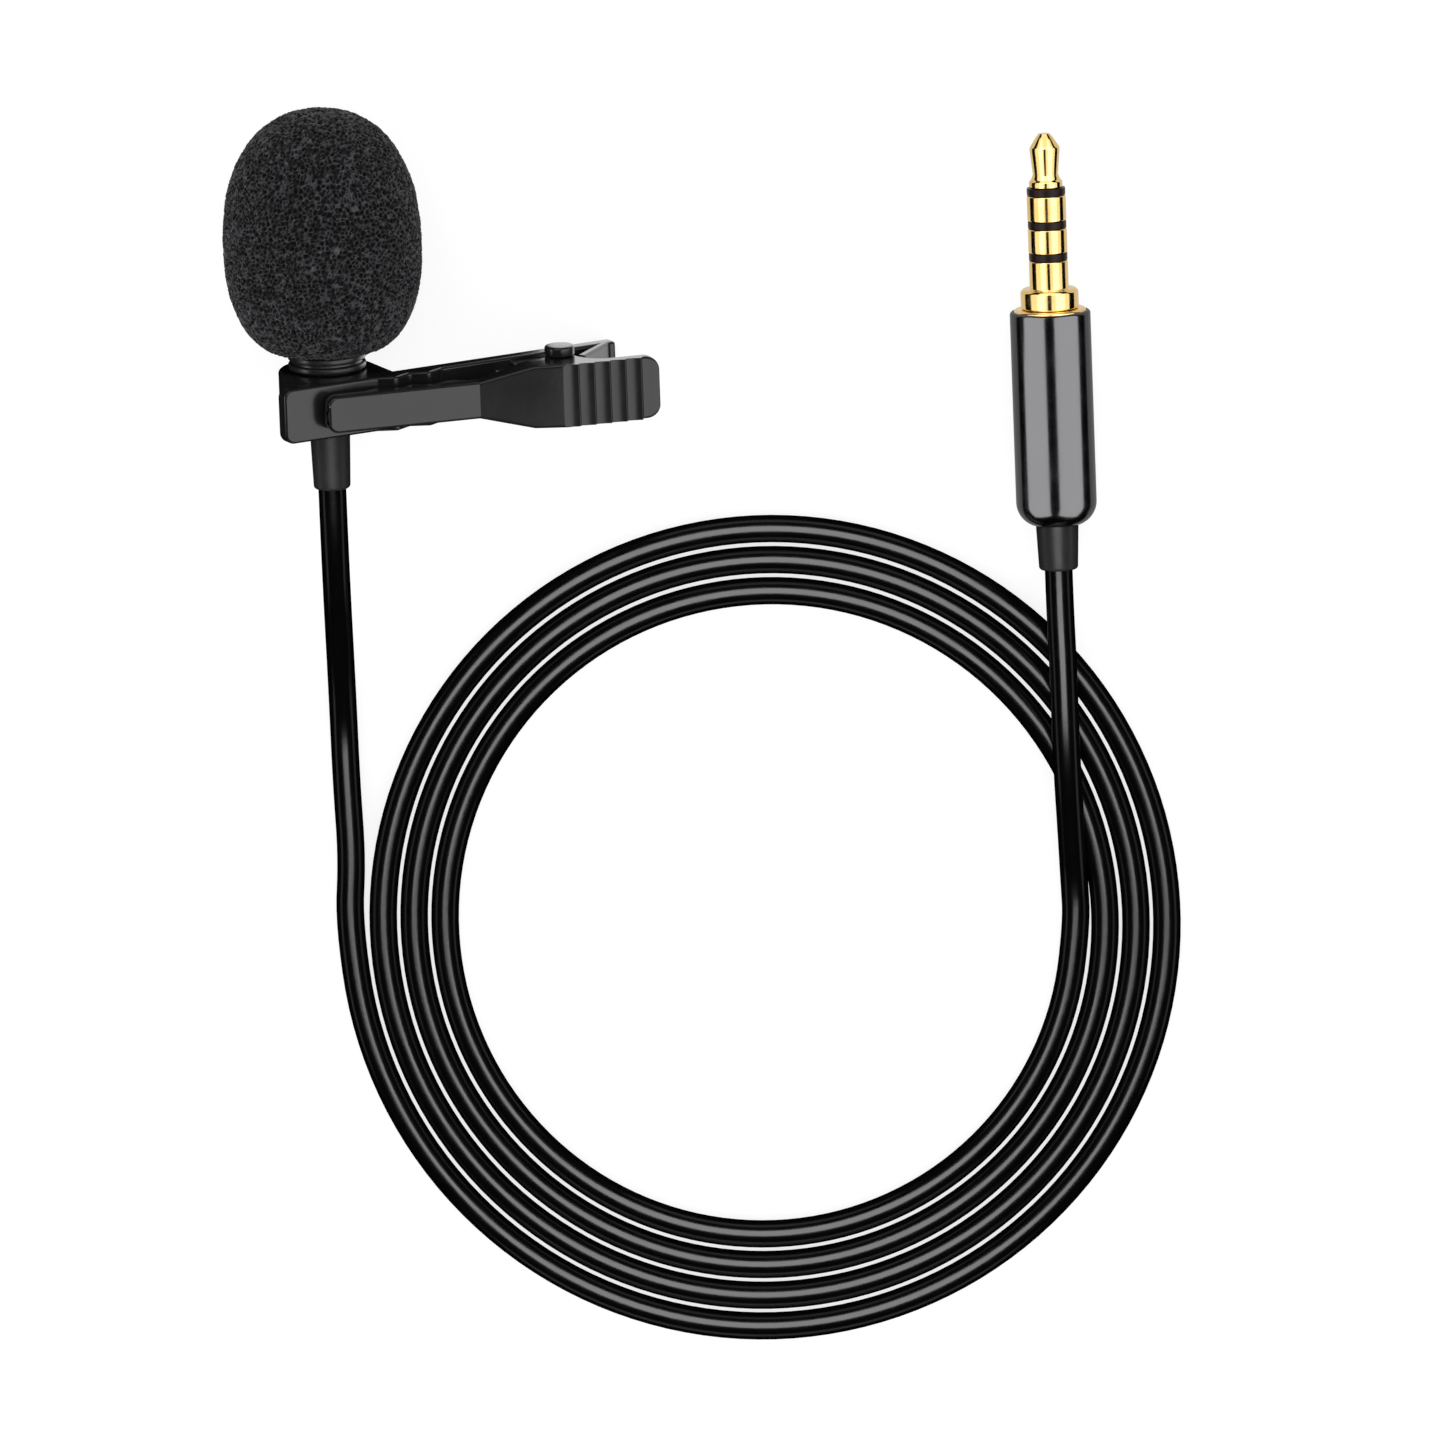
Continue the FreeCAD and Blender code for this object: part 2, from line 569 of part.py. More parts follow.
def capsule():
    """Electret capsule: can, diaphragm, spacer, back plate, its holder, transistor and board."""
    felt_low = CAPSULE_TOP + d.fit_gap
    felt = tube_corners(ZERO, d.tube_bore - d.fit_gap, felt_low, felt_low + d.felt_thick)
    keep(turned("dust_felt", felt), mic_frame)
    low = CAPSULE_TOP - d.capsule_height
    can = [
        (d.capsule_inlet, CAPSULE_TOP),
        (d.capsule_inlet, CAPSULE_TOP - d.capsule_wall),
        (d.capsule_radius - d.capsule_wall, CAPSULE_TOP - d.capsule_wall),
        (d.capsule_radius - d.capsule_wall, low),
        (d.capsule_radius, low),
        (d.capsule_radius, CAPSULE_TOP - d.metal_edge),
        (d.capsule_radius - d.metal_edge, CAPSULE_TOP),
    ]
    keep(turned("capsule_can", can), mic_frame)
    film_low = INNER_TOP - d.diaphragm_thick
    film_top = film_low + d.film_thick
    diaphragm = [
        (ZERO, film_low),
        (INNER_RADIUS, film_low),
        (INNER_RADIUS, INNER_TOP),
        (INNER_RADIUS - d.diaphragm_rim, INNER_TOP),
        (INNER_RADIUS - d.diaphragm_rim, film_top),
        (ZERO, film_top),
    ]
    keep(turned("diaphragm_ring", diaphragm), mic_frame)
    spacer_top = film_low - d.fit_gap
    spacer_low = spacer_top - d.spacer_thick
    spacer = tube_corners(INNER_RADIUS - d.diaphragm_rim, INNER_RADIUS, spacer_low, spacer_top)
    keep(turned("spacer_ring", spacer), mic_frame)
    plate_top = spacer_low - d.fit_gap
    plate_low = plate_top - d.back_plate_thick
    plate_radius = INNER_RADIUS - d.holder_wall - d.fit_gap
    back_plate = turned("back_plate", tube_corners(ZERO, plate_radius, plate_low, plate_top))
    ring = d.plate_hole_ring.value
    holes = [(ring * math.cos(a), ring * math.sin(a)) for a in (0.0, math.pi / 2, math.pi, 1.5 * math.pi)]
    drill(back_plate, "back_plate_holes", holes, 0.15, d.tube_top * 3)
    keep(back_plate, mic_frame)
    holder_low = plate_top - d.holder_height
    ledge = plate_low - d.fit_gap
    holder = [
        (INNER_RADIUS - d.holder_wall, plate_top),
        (INNER_RADIUS - d.holder_wall, ledge),
        (INNER_RADIUS - d.holder_wall - 0.25, ledge),
        (INNER_RADIUS - d.holder_wall - 0.25, holder_low),
        (INNER_RADIUS, holder_low),
        (INNER_RADIUS, plate_top),
    ]
    keep(turned("back_plate_holder", holder), mic_frame)
    board_top = holder_low - d.fit_gap
    board = tube_corners(ZERO, INNER_RADIUS, board_top - d.board_thick, board_top)
    keep(turned("capsule_board", board), mic_frame)
    jfet = doc.addObject("Part::Box", "jfet")
    jfet.Label = "jfet"
    bind(jfet, "Length", d.jfet_side)
    bind(jfet, "Width", d.jfet_side)
    bind(jfet, "Height", d.jfet_height)
    keep(jfet, mic_frame * moved(-d.jfet_side / 2, -d.jfet_side / 2, board_top + d.fit_gap))
    boot_inner = d.capsule_radius + d.fit_gap
    boot = tube_corners(boot_inner, boot_inner + d.boot_wall, low - 0.6, CAPSULE_TOP)
    keep(turned("capsule_boot", boot), mic_frame)
    return board_top - d.board_thick


def wire(label, frame, low, high, side):
    """A straight insulated wire beside the cable's axis."""
    made = cylinder(label, d.wire_radius, low, high, d.wire_offset * side)
    keep(made, frame * FreeCAD.Placement(made.Start, FreeCAD.Rotation()))


def mic_strain_relief():
    """Rubber sleeve held in the tube's lower end, tapering to the cable."""
    corners = [
        (d.relief_bore, d.mic_relief_end),
        (d.mic_relief_tip_radius - d.relief_round, d.mic_relief_end, d.relief_round, 1),
        (d.mic_relief_tip_radius, d.mic_relief_end + d.relief_round),
        (d.mic_relief_radius, d.tube_bottom - d.fit_gap),
        (d.tube_bore - d.fit_gap, d.tube_bottom - d.fit_gap),
        (d.tube_bore - d.fit_gap, d.mic_relief_top),
        (d.relief_bore, d.mic_relief_top),
    ]
    return keep(turned("mic_strain_relief", corners), mic_frame)


# ---------------------------------------------------------------- tie clip

ARM_FRONT = -(d.arm_back + d.arm_thick)
HALF_HEIGHT = d.clip_height / 2
EAR_LOW = d.pad_half_height - d.ear_thick
LUG_TOP = EAR_LOW - d.lug_gap
LUG_LOW = LUG_TOP - d.lug_thick


def tooth_row(along, face, depth, count):
    """Corners of a row of triangular jaw teeth standing from a face."""
    corners = []
    for i in range(count):
        foot = along + d.tooth_pitch * i
        corners.append((foot, face))
        corners.append((foot + d.tooth_pitch / 2, face + depth))
    corners.append((along + d.tooth_pitch * count, face))
    return corners


def mirrored_plates(body, name, corners, low, high):
    """The same plate above and below the middle plane."""
    plate(body, "XY_Plane", f"{name}_upper", [corners], low, high)
    plate(body, "XY_Plane", f"{name}_lower", [corners], -high, -low)


def clip_body():
    """Ring round the microphone tube, toothed fixed jaw, hinge lugs and the braced handle."""
    body = new_body("clip_body")
    arm = [
        (d.jaw_end, ARM_FRONT),
        *tooth_row(d.fixed_teeth, ARM_FRONT, -d.tooth_depth, 2),
        (d.arm_end, ARM_FRONT),
        (d.arm_end, -d.arm_back),
        (d.jaw_end, -d.arm_back),
    ]
    plate(body, "XY_Plane", "arm", [arm], -HALF_HEIGHT, HALF_HEIGHT)
    ring = [
        (-d.ring_radius, -d.arm_back - d.weld),
        (d.ring_radius, -d.arm_back - d.weld),
        (d.ring_radius, ZERO, HALF),
        (-d.ring_radius, ZERO),
    ]
    plate(body, "XY_Plane", "ring", [ring], -HALF_HEIGHT, HALF_HEIGHT)
    rib_start = d.pin_along + d.rib_reach
    rib = [
        (rib_start, -d.pin_off),
        (d.arm_end, ARM_FRONT + d.rib_root),
        (d.arm_end - d.rib_foot, ARM_FRONT + d.rib_root),
        (rib_start - d.rib_shoulder, -d.pin_off + d.rib_shoulder),
    ]
    plate(body, "XY_Plane", "rib", [rib], -HALF_HEIGHT, HALF_HEIGHT)
    lug = [
        (d.pin_along - d.lug_round, -d.pin_off, HALF),
        (d.pin_along + d.lug_round, -d.pin_off),
        (rib_start, -d.pin_off + d.fit_gap),
        (rib_start, ARM_FRONT + d.weld),
        (d.pin_along - d.lug_root, ARM_FRONT + d.weld),
    ]
    mirrored_plates(body, "lug", lug, LUG_LOW, LUG_TOP)
    drill(body, "tube_bore", [(ZERO, ZERO)], d.tube_radius + d.running_gap, d.clip_height * 2)
    pin_hole = d.pin_radius + d.fit_gap
    last = drill(body, "pin_hole", [(d.pin_along, -d.pin_off)], pin_hole, d.clip_height * 2)
    jaw_end = d.jaw_end.value

    def jaw_corner(box):
        return box.XMax < jaw_end + 0.01 and box.YLength > 1 and box.ZLength < 0.01

    last = rounded(body, last, "jaw_corners", d.clip_corner, jaw_corner)
    return keep(body, clip_frame)


def thumb_ridges(outer):
    """Ridges across the thumb pad, each a hollow rise to a crest with a steep far side."""
    corners = [(d.step_end, outer + d.ridge_depth, d.ridge_hollow, -1)]
    for i in range(5):
        crest = d.ridge_start + d.ridge_pitch * i
        corners.append((crest, outer))
        corners.append((crest + d.ridge_rise, outer + d.ridge_depth, d.ridge_hollow, -1))
    return corners


def clip_lever():
    """Lever with its toothed jaw, the ears round the pin and the ridged thumb pad."""
    body = new_body("clip_lever")
    inner = -d.lever_face
    outer = inner - d.lever_thick
    pad_inner = inner - d.pad_step
    pad_outer = outer - d.pad_step
    teeth = tooth_row(d.lever_tip + d.lever_teeth, inner, d.tooth_depth, 3)
    blade = [
        (d.lever_tip, outer + d.tip_round, d.tip_round, 1),
        (d.lever_tip + d.tip_round, outer),
        (d.step_start, outer),
        *thumb_ridges(pad_outer),
        (d.lever_end, pad_outer + d.pad_tilt),
        (d.lever_end, pad_inner),
        (d.inner_step_end, pad_inner),
        (d.inner_step_start, inner),
        *reversed(teeth),
        (d.lever_tip, inner),
    ]
    half = d.pad_half_height
    plate(body, "XY_Plane", "blade", [blade], -half, half)
    ear = [
        (d.ear_start, inner - d.ear_weld),
        (ZERO, pad_inner - d.ear_weld),
        (d.ear_end, pad_inner - d.ear_weld),
        (d.ear_end, pad_inner, d.ear_hollow, -1),
        (d.ear_round, ZERO, HALF),
        (-d.ear_round, ZERO, d.ear_sweep, -1),
        (d.ear_start, inner),
    ]
    mirrored_plates(body, "ear", ear, EAR_LOW, half)
    far = -d.lever_tip * 2
    frame = [(-far, -far), (far, -far), (far, far), (-far, far)]
    bar = d.bar_half_height
    corner = d.pad_corner
    nose = d.nose_round
    side_view = [
        (d.lever_tip, -bar + nose, nose, 1),
        (d.lever_tip + nose, -bar),
        (d.flare_start, -bar),
        (d.flare_end, -half),
        (d.lever_end - corner, -half, corner, 1),
        (d.lever_end, -half + corner),
        (d.lever_end, half - corner, corner, 1),
        (d.lever_end - corner, half),
        (d.flare_end, half),
        (d.flare_start, bar),
        (d.lever_tip + nose, bar, nose, 1),
        (d.lever_tip, bar - nose),
    ]
    plate(body, "XZ_Plane", "side_view", [frame, side_view], -far, far, True)
    drill(body, "pin_hole", [(ZERO, ZERO)], d.pin_radius + d.running_gap, half * 4)
    return keep(body, lever_frame)


def hinge_pin():
    """Pin with a thick round head above the lever's upper ear and a riveted foot below."""
    low = -d.pad_half_height - d.fit_gap
    high = d.pad_half_height + d.fit_gap
    top = high + d.pin_head_height
    edge = d.pin_head_round
    corners = [
        (ZERO, low - d.pin_foot_height),
        (d.pin_foot_radius - d.pin_foot_bevel, low - d.pin_foot_height),
        (d.pin_foot_radius, low),
        (d.pin_radius, low),
        (d.pin_radius, high),
        (d.pin_head_radius, high),
        (d.pin_head_radius, top - edge, edge, 1),
        (d.pin_head_radius - edge, top),
        (ZERO, top),
    ]
    return keep(turned("hinge_pin", corners), clip_frame * moved(d.pin_along, -d.pin_off, 0))


def torsion_spring():
    """Wire coil round the pin, between the lugs, whose straight legs press the handles apart."""
    wire_radius = d.spring_wire.value
    height = d.spring_pitch.value * d.spring_turns.value
    helix = Part.makeHelix(d.spring_pitch.value, height, d.spring_radius.value)
    centre_line = helix.Edges[0]
    first, last = centre_line.ParameterRange
    start = centre_line.valueAt(first)
    start_way = centre_line.tangentAt(first)
    end = centre_line.valueAt(last)
    end_way = centre_line.tangentAt(last)
    section = Part.Wire(Part.Circle(start, start_way, wire_radius).toShape())
    coil = Part.Wire(helix.Edges).makePipeShell([section], True, False)
    pad_leg = Part.makeCylinder(wire_radius, d.pad_leg.value, start, -start_way)
    arm_leg = Part.makeCylinder(wire_radius, d.arm_leg.value, end, end_way)
    made = doc.addObject("Part::Feature", "torsion_spring")
    made.Label = "torsion_spring"
    made.Shape = coil.fuse([pad_leg, arm_leg])
    place = moved(d.pin_along, -d.pin_off, -height / 2)
    return keep(made, clip_frame * place * turned_about(Z_AXIS, d.spring_turned))


# ---------------------------------------------------------------- cable

COIL_JOIN = d.coil_y + d.coil_stretch / 2


def rounded_route(points):
    """Straight runs joined by tangent arcs, each as large as its two runs allow. Prints the radii."""
    points = [FreeCAD.Vector(*p) for p in points]
    edges = []
    here = points[0]
    radii = []
    for before, corner, after in zip(points, points[1:], points[2:]):
        incoming = corner - before
        outgoing = after - corner
        turn = incoming.getAngle(outgoing)
        reach = 0.45 * min(incoming.Length, outgoing.Length)
        radius = reach / math.tan(turn / 2)
        radii.append(round(radius, 1))
        incoming.normalize()
        outgoing.normalize()
        enter = corner - incoming * reach
        leave = corner + outgoing * reach
        bisector = (outgoing - incoming).normalize()
        centre = corner + bisector * (radius / math.cos(turn / 2))
        middle = centre - bisector * radius
        edges.append(Part.LineSegment(here, enter).toShape())
        edges.append(Part.Arc(enter, middle, leave).toShape())
        here = leave
    edges.append(Part.LineSegment(here, points[-1]).toShape())
    print("cable arc radii, mm:", radii)
    return Part.Wire(edges)


def cable_tube(label, points):
    """Cable along a route, checked against its section times its length."""
    route = rounded_route(points)
    first = route.Edges[0]
    direction = first.tangentAt(first.FirstParameter)
    radius = d.cable_radius.value
    section = Part.Wire(Part.Circle(FreeCAD.Vector(*points[0]), direction, radius).toShape())
    tube = route.makePipeShell([section], True, False)
    expected = math.pi * radius**2 * route.Length
    if abs(tube.Volume / expected - 1) > 0.005:
        raise RuntimeError(f"{label}: volume {tube.Volume:.1f}, expected {expected:.1f}")
    print(f"{label}: {route.Length:.1f} mm long, lowest point {tube.optimalBoundingBox(False).ZMin:.3f}")
    made = doc.addObject("Part::Feature", label)
    made.Label = label
    made.Shape = tube
    return keep(made, FreeCAD.Placement())


def mic_lead():
    """From the microphone's strain relief down to the table and along it to the coil."""
    start = mic_frame.multVec(FreeCAD.Vector(0, 0, d.mic_relief_end.value))
    second = mic_frame.multVec(FreeCAD.Vector(0, 0, d.mic_relief_end.value - 7.5))
    low = d.cable_radius.value
    coil_start = d.coil_x.value - d.coil_outer.value
    route = [
        tuple(start),
        tuple(second),
        (-9.12, -37.4, low + 0.02),
        (-8.78, -45.6, low),
        (coil_start, -52.6, low),
        (coil_start, COIL_JOIN.value, low),
    ]
    return cable_tube("mic_lead", route)


def cable_coil():
    """Outer shape of the flat spiral: four strands at the bottom and three at the top. Each half
    turn is a half circle, whose centre is a quarter pitch to the left below and right above, and
    short straight stretches at the left and right make the coil a little longer than wide."""
    body = new_body("cable_coil")
    shift = d.coil_pitch / 4
    outer = d.coil_outer + d.cable_radius
    left = d.coil_x - outer
    right = left + (outer - shift) * 2
    outer_left = right - (outer - shift * 3) * 2
    near = d.coil_y - d.coil_stretch / 2
    outside = [
        (left, COIL_JOIN),
        (left, near, HALF),
        (right, near),
        (right, COIL_JOIN, HALF),
        (outer_left, COIL_JOIN),
    ]
    inner = d.coil_outer - d.coil_pitch * (d.coil_turns - 1) - d.cable_radius
    inner_right = d.coil_x + inner
    inner_left = inner_right - (inner - shift) * 2
    inner_end = inner_left + (inner - shift * 3) * 2
    inside = [
        (inner_right, COIL_JOIN, HALF),
        (inner_left, COIL_JOIN),
        (inner_left, near, HALF),
        (inner_end, near),
        (inner_end, COIL_JOIN),
    ]
    plate(body, "XY_Plane", "strands", [outside, inside], ZERO, d.cable_radius * 2)
    return keep(body, FreeCAD.Placement())


def plug_lead():
    """From the coil's inner end over the coil to the plug's strain relief."""
    start = plug_frame.multVec(FreeCAD.Vector(0, 0, d.plug_relief_end.value))
    second = plug_frame.multVec(FreeCAD.Vector(0, 0, d.plug_relief_end.value - 3.6))
    low = d.cable_radius.value
    coil_end = d.coil_x.value + d.coil_outer.value - d.coil_pitch.value * d.coil_turns.value
    route = [
        tuple(start),
        tuple(second),
        (55.71, -34.5, 5.3),
        (56.06, -43.4, 5.4),
        (56.51, -49.8, 2.85),
        (coil_end, -54.5, low),
        (coil_end, COIL_JOIN.value, low),
    ]
    return cable_tube("plug_lead", route)


# ---------------------------------------------------------------- plug


def plug_contacts():
    """Four contacts, each with its own inner tube, held apart by three insulators."""
    edge = d.contact_edge
    radius = d.plug_radius
    gap = d.fit_gap
    wall = d.inner_wall
    half_band = d.band_width / 2
    bands = (d.band_one, d.band_two, d.band_three)
    tip = [
        (ZERO, d.plug_length),
        (ZERO, d.stem_end - d.rod_tail),
        (d.rod_radius, d.stem_end - d.rod_tail),
        (d.rod_radius, d.tip_base),
        (radius - d.shoulder_in - edge, d.tip_base),
        (radius - d.shoulder_in, d.tip_base + edge),
        (radius - d.shoulder_in, d.tip_base + d.shoulder_top),
        (radius - d.neck_in, d.tip_base + d.neck_low),
        (radius - d.waist_in, d.tip_base + d.waist_height),
        (radius - d.bulge_in, d.tip_base + d.bulge_low),
        (radius - d.bulge_in, d.tip_base + d.bulge_top),
        (radius - d.cone_in, d.plug_length - d.cone_drop),
        (radius - d.nose_in, d.plug_length),
    ]
    keep(turned("plug_tip", tip), plug_frame)
    names = ("one", "two", "three")
    inner = d.rod_radius + gap
    for i, name in enumerate(names):
        band_low = bands[i] - half_band
        band_high = bands[i] + half_band
        tube_end = d.stem_end - d.tube_tail + d.tube_step * i
        insulator = [
            (inner, tube_end),
            (inner + wall, tube_end),
            (inner + wall, band_low),
            (radius - gap, band_low),
            (radius - gap, band_high - gap),
            (inner, band_high - gap),
        ]
        keep(turned(f"plug_insulator_{name}", insulator), plug_frame)
        inner = inner + wall + gap
        if name == "three":
            break
        contact_high = band_low - gap
        contact_low = bands[i + 1] + half_band
        ring_end = tube_end + d.ring_step
        ring = [
            (inner, ring_end),
            (inner + wall, ring_end),
            (inner + wall, contact_low),
            (radius - edge, contact_low),
            (radius, contact_low + edge),
            (radius, contact_high - edge),
            (radius - edge, contact_high),
            (inner, contact_high),
        ]
        keep(turned(f"plug_ring_{name}", ring), plug_frame)
        inner = inner + wall + gap
    sleeve_high = d.band_three - half_band - gap
    collar = d.collar_radius
    sleeve = [
        (inner, d.stem_end),
        (d.stem_radius, d.stem_end),
        (d.stem_radius, -d.collar_height),
        (collar - d.collar_foot, -d.collar_height),
        (collar, -d.collar_height + d.collar_foot),
        (collar, -d.collar_bevel),
        (collar - d.collar_bevel, ZERO),
        (radius, ZERO),
        (radius, sleeve_high - edge),
        (radius - edge, sleeve_high),
        (inner, sleeve_high),
    ]
    keep(turned("plug_sleeve", sleeve), plug_frame)


def plug_housing():
    """Gilt rim, black barrel, the moulded filling and the solder lugs."""
    gap = d.fit_gap
    rim_high = -d.collar_height - gap
    rim_low = rim_high - d.rim_height
    rim = [
        (d.stem_radius + gap, rim_low),
        (d.rim_radius - d.rim_foot, rim_low),
        (d.rim_radius, rim_low + d.rim_foot),
        (d.rim_radius, rim_high - d.rim_bevel),
        (d.rim_radius - d.rim_bevel, rim_high),
        (d.stem_radius + gap, rim_high),
    ]
    keep(turned("plug_rim", rim), plug_frame)
    mouth = rim_low + d.barrel_lip
    seat = rim_low - gap
    end = d.barrel_end
    barrel = [
        (d.barrel_hole, end),
        (d.barrel_foot, end, d.barrel_round, 1),
        (d.barrel_radius, end + d.barrel_round_height),
        (d.barrel_radius, mouth - d.barrel_mouth_round, d.barrel_mouth_round, 1),
        (d.barrel_radius - d.barrel_mouth_round, mouth),
        (d.rim_radius + gap, mouth),
        (d.rim_radius + gap, seat),
        (d.stem_radius + gap, seat),
        (d.stem_radius + gap, seat - d.barrel_seat),
        (d.barrel_bore, seat - d.barrel_seat),
        (d.barrel_bore, end + d.barrel_floor),
        (d.barrel_hole, end + d.barrel_floor),
    ]
    keep(turned("plug_barrel", barrel), plug_frame)
    flange_top = end + d.barrel_floor + gap + d.plug_relief_flange_height
    core_radius = d.barrel_bore - gap
    core = tube_corners(d.relief_bore, core_radius, flange_top + gap, d.core_top)
    keep(turned("plug_core", core), plug_frame)
    lugs = (("signal_lug", 1, d.rod_radius), ("ground_lug", -1, d.stem_radius - d.lug_plate))
    for name, side, offset in lugs:
        lug = doc.addObject("Part::Box", name)
        lug.Label = name
        top = d.stem_end - d.rod_tail - gap if side > 0 else d.stem_end - gap
        low = d.lug_end
        bind(lug, "Length", d.lug_plate)
        bind(lug, "Width", d.lug_width)
        bind(lug, "Height", top - low)
        across = offset - d.lug_plate if side > 0 else -offset - d.lug_plate
        keep(lug, plug_frame * moved(across, -d.lug_width / 2, low))


def plug_strain_relief():
    """Rubber sleeve with a flange inside the barrel."""
    gap = d.fit_gap
    floor = d.barrel_end + d.barrel_floor
    corners = [
        (d.relief_bore, d.plug_relief_end),
        (d.plug_relief_tip_radius - d.relief_round, d.plug_relief_end, d.relief_round, 1),
        (d.plug_relief_tip_radius, d.plug_relief_end + d.relief_round),
        (d.plug_relief_radius, d.barrel_end),
        (d.plug_relief_radius, floor + gap),
        (d.plug_relief_flange, floor + gap),
        (d.plug_relief_flange, floor + gap + d.plug_relief_flange_height),
        (d.relief_bore, floor + gap + d.plug_relief_flange_height),
    ]
    return keep(turned("plug_strain_relief", corners), plug_frame)


# ---------------------------------------------------------------- build, check and write

windscreen()
mic_housing()
o_ring()
grille_cap()
board_low = capsule()
wire("mic_signal_wire", mic_frame, d.mic_relief_end, board_low - d.fit_gap, 1)
wire("mic_ground_wire", mic_frame, d.mic_relief_end, board_low - d.fit_gap, -1)
mic_strain_relief()
clip_body()
clip_lever()
hinge_pin()
torsion_spring()
mic_lead()
cable_coil()
plug_lead()
plug_contacts()
plug_housing()
plug_strain_relief()
wire_top = d.lug_end - d.fit_gap
wire("plug_signal_wire", plug_frame, d.plug_relief_end, wire_top, 1)
wire("plug_ground_wire", plug_frame, d.plug_relief_end, wire_top, -1)

doc.recompute()
for item in doc.Objects:
    if "Invalid" in item.State or "Error" in item.State:
        raise RuntimeError(f"{item.Label} failed: {item.State}")
for item in parts:
    if item.Shape.isNull() or not item.Shape.isValid():
        raise RuntimeError(f"{item.Label} has no valid shape")
for item in parts:
    item.Shape.exportStep(f"parts/{item.Label}.step")
print(len(parts), "sub-parts written")
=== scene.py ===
import json
import math

import bmesh
import bpy
from mathutils import Matrix, Vector, noise


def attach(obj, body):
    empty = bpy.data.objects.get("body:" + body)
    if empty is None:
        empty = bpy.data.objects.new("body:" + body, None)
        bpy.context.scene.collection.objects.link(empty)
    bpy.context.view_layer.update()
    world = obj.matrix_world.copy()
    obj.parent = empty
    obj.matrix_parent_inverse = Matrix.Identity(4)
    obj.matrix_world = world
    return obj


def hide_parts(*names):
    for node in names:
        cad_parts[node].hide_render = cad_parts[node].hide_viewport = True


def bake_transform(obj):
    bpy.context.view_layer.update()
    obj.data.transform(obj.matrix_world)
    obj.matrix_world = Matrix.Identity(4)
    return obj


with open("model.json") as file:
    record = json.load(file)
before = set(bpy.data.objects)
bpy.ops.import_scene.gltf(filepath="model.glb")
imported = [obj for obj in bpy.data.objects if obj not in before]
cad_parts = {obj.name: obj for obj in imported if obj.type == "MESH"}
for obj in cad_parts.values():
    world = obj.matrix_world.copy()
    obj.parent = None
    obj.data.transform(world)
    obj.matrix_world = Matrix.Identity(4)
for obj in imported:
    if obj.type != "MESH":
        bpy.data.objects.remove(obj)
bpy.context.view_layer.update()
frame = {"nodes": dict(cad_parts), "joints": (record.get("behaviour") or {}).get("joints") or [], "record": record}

# Lavalier microphone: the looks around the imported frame. Lengths are in metres.

MM = 0.001
WELD = 0.002 * MM
NODES = frame["nodes"]
BODY = {"mic": "microphone", "foam": "windscreen_foam", "clip": "clip_arm", "lever": "lever_arm"}

SLOT = {part["node"]: part["material_slot"] for part in frame["record"]["subparts"]}

# ---------------------------------------------------------------- frames of the sub-assemblies


def named(items, name):
    return next(item for item in items if item["name"] == name)


def frame_along(origin, axis):
    """Frame whose Z is the axis, whose X is level and whose Y points down at the table."""
    z = Vector(axis).normalized()
    x = z.cross(Vector((0, 0, 1))).normalized()
    y = z.cross(x)
    turn = Matrix((x, y, z)).transposed().to_4x4()
    return Matrix.Translation(Vector(origin)) @ turn


swivel = named(frame["joints"], "clip_swivel")
hinge = named(frame["joints"], "lever_hinge")
plug_mount = named(frame["record"]["mounts"], "plug_pin")

PIN_IN_CLIP = Vector((18.6, -9.3, 0)) * MM
LEVER_ANGLE = math.radians(10.3)
MOUNT_HEIGHT = 4.5 * MM

MIC = frame_along(swivel["pos_m"], -Vector(swivel["axis"]))
pin = MIC.inverted() @ Vector(hinge["pos_m"])
clip_swing = math.atan2(pin.y, pin.x) - math.atan2(PIN_IN_CLIP.y, PIN_IN_CLIP.x)
CLIP = MIC @ Matrix.Rotation(clip_swing, 4, "Z")
PIN = CLIP @ Matrix.Translation(PIN_IN_CLIP)
LEVER = PIN @ Matrix.Rotation(-LEVER_ANGLE, 4, "Z")
plug_axis = Vector(plug_mount["axis"])
PLUG = frame_along(Vector(plug_mount["pos_m"]) - plug_axis * MOUNT_HEIGHT, plug_axis)

# ---------------------------------------------------------------- camera

CAMERA_TILT = math.radians(10)
TO_CAMERA = Vector((0, math.sin(CAMERA_TILT), math.cos(CAMERA_TILT)))
CAMERA_TARGET = Vector((25.09, -40.25, 0)) * MM
FRAME_WIDTH = 130.2 * MM
LENS = 500
SENSOR = 36

camera = bpy.data.objects.new("camera", bpy.data.cameras.new("camera"))
camera.data.lens = LENS
camera.data.sensor_width = SENSOR
camera.data.clip_start = 0.01
camera.data.clip_end = 20
camera.rotation_euler = (-CAMERA_TILT, 0, 0)
camera.location = CAMERA_TARGET + TO_CAMERA * (FRAME_WIDTH * LENS / SENSOR)
bpy.context.scene.collection.objects.link(camera)
bpy.context.scene.camera = camera

# ---------------------------------------------------------------- materials


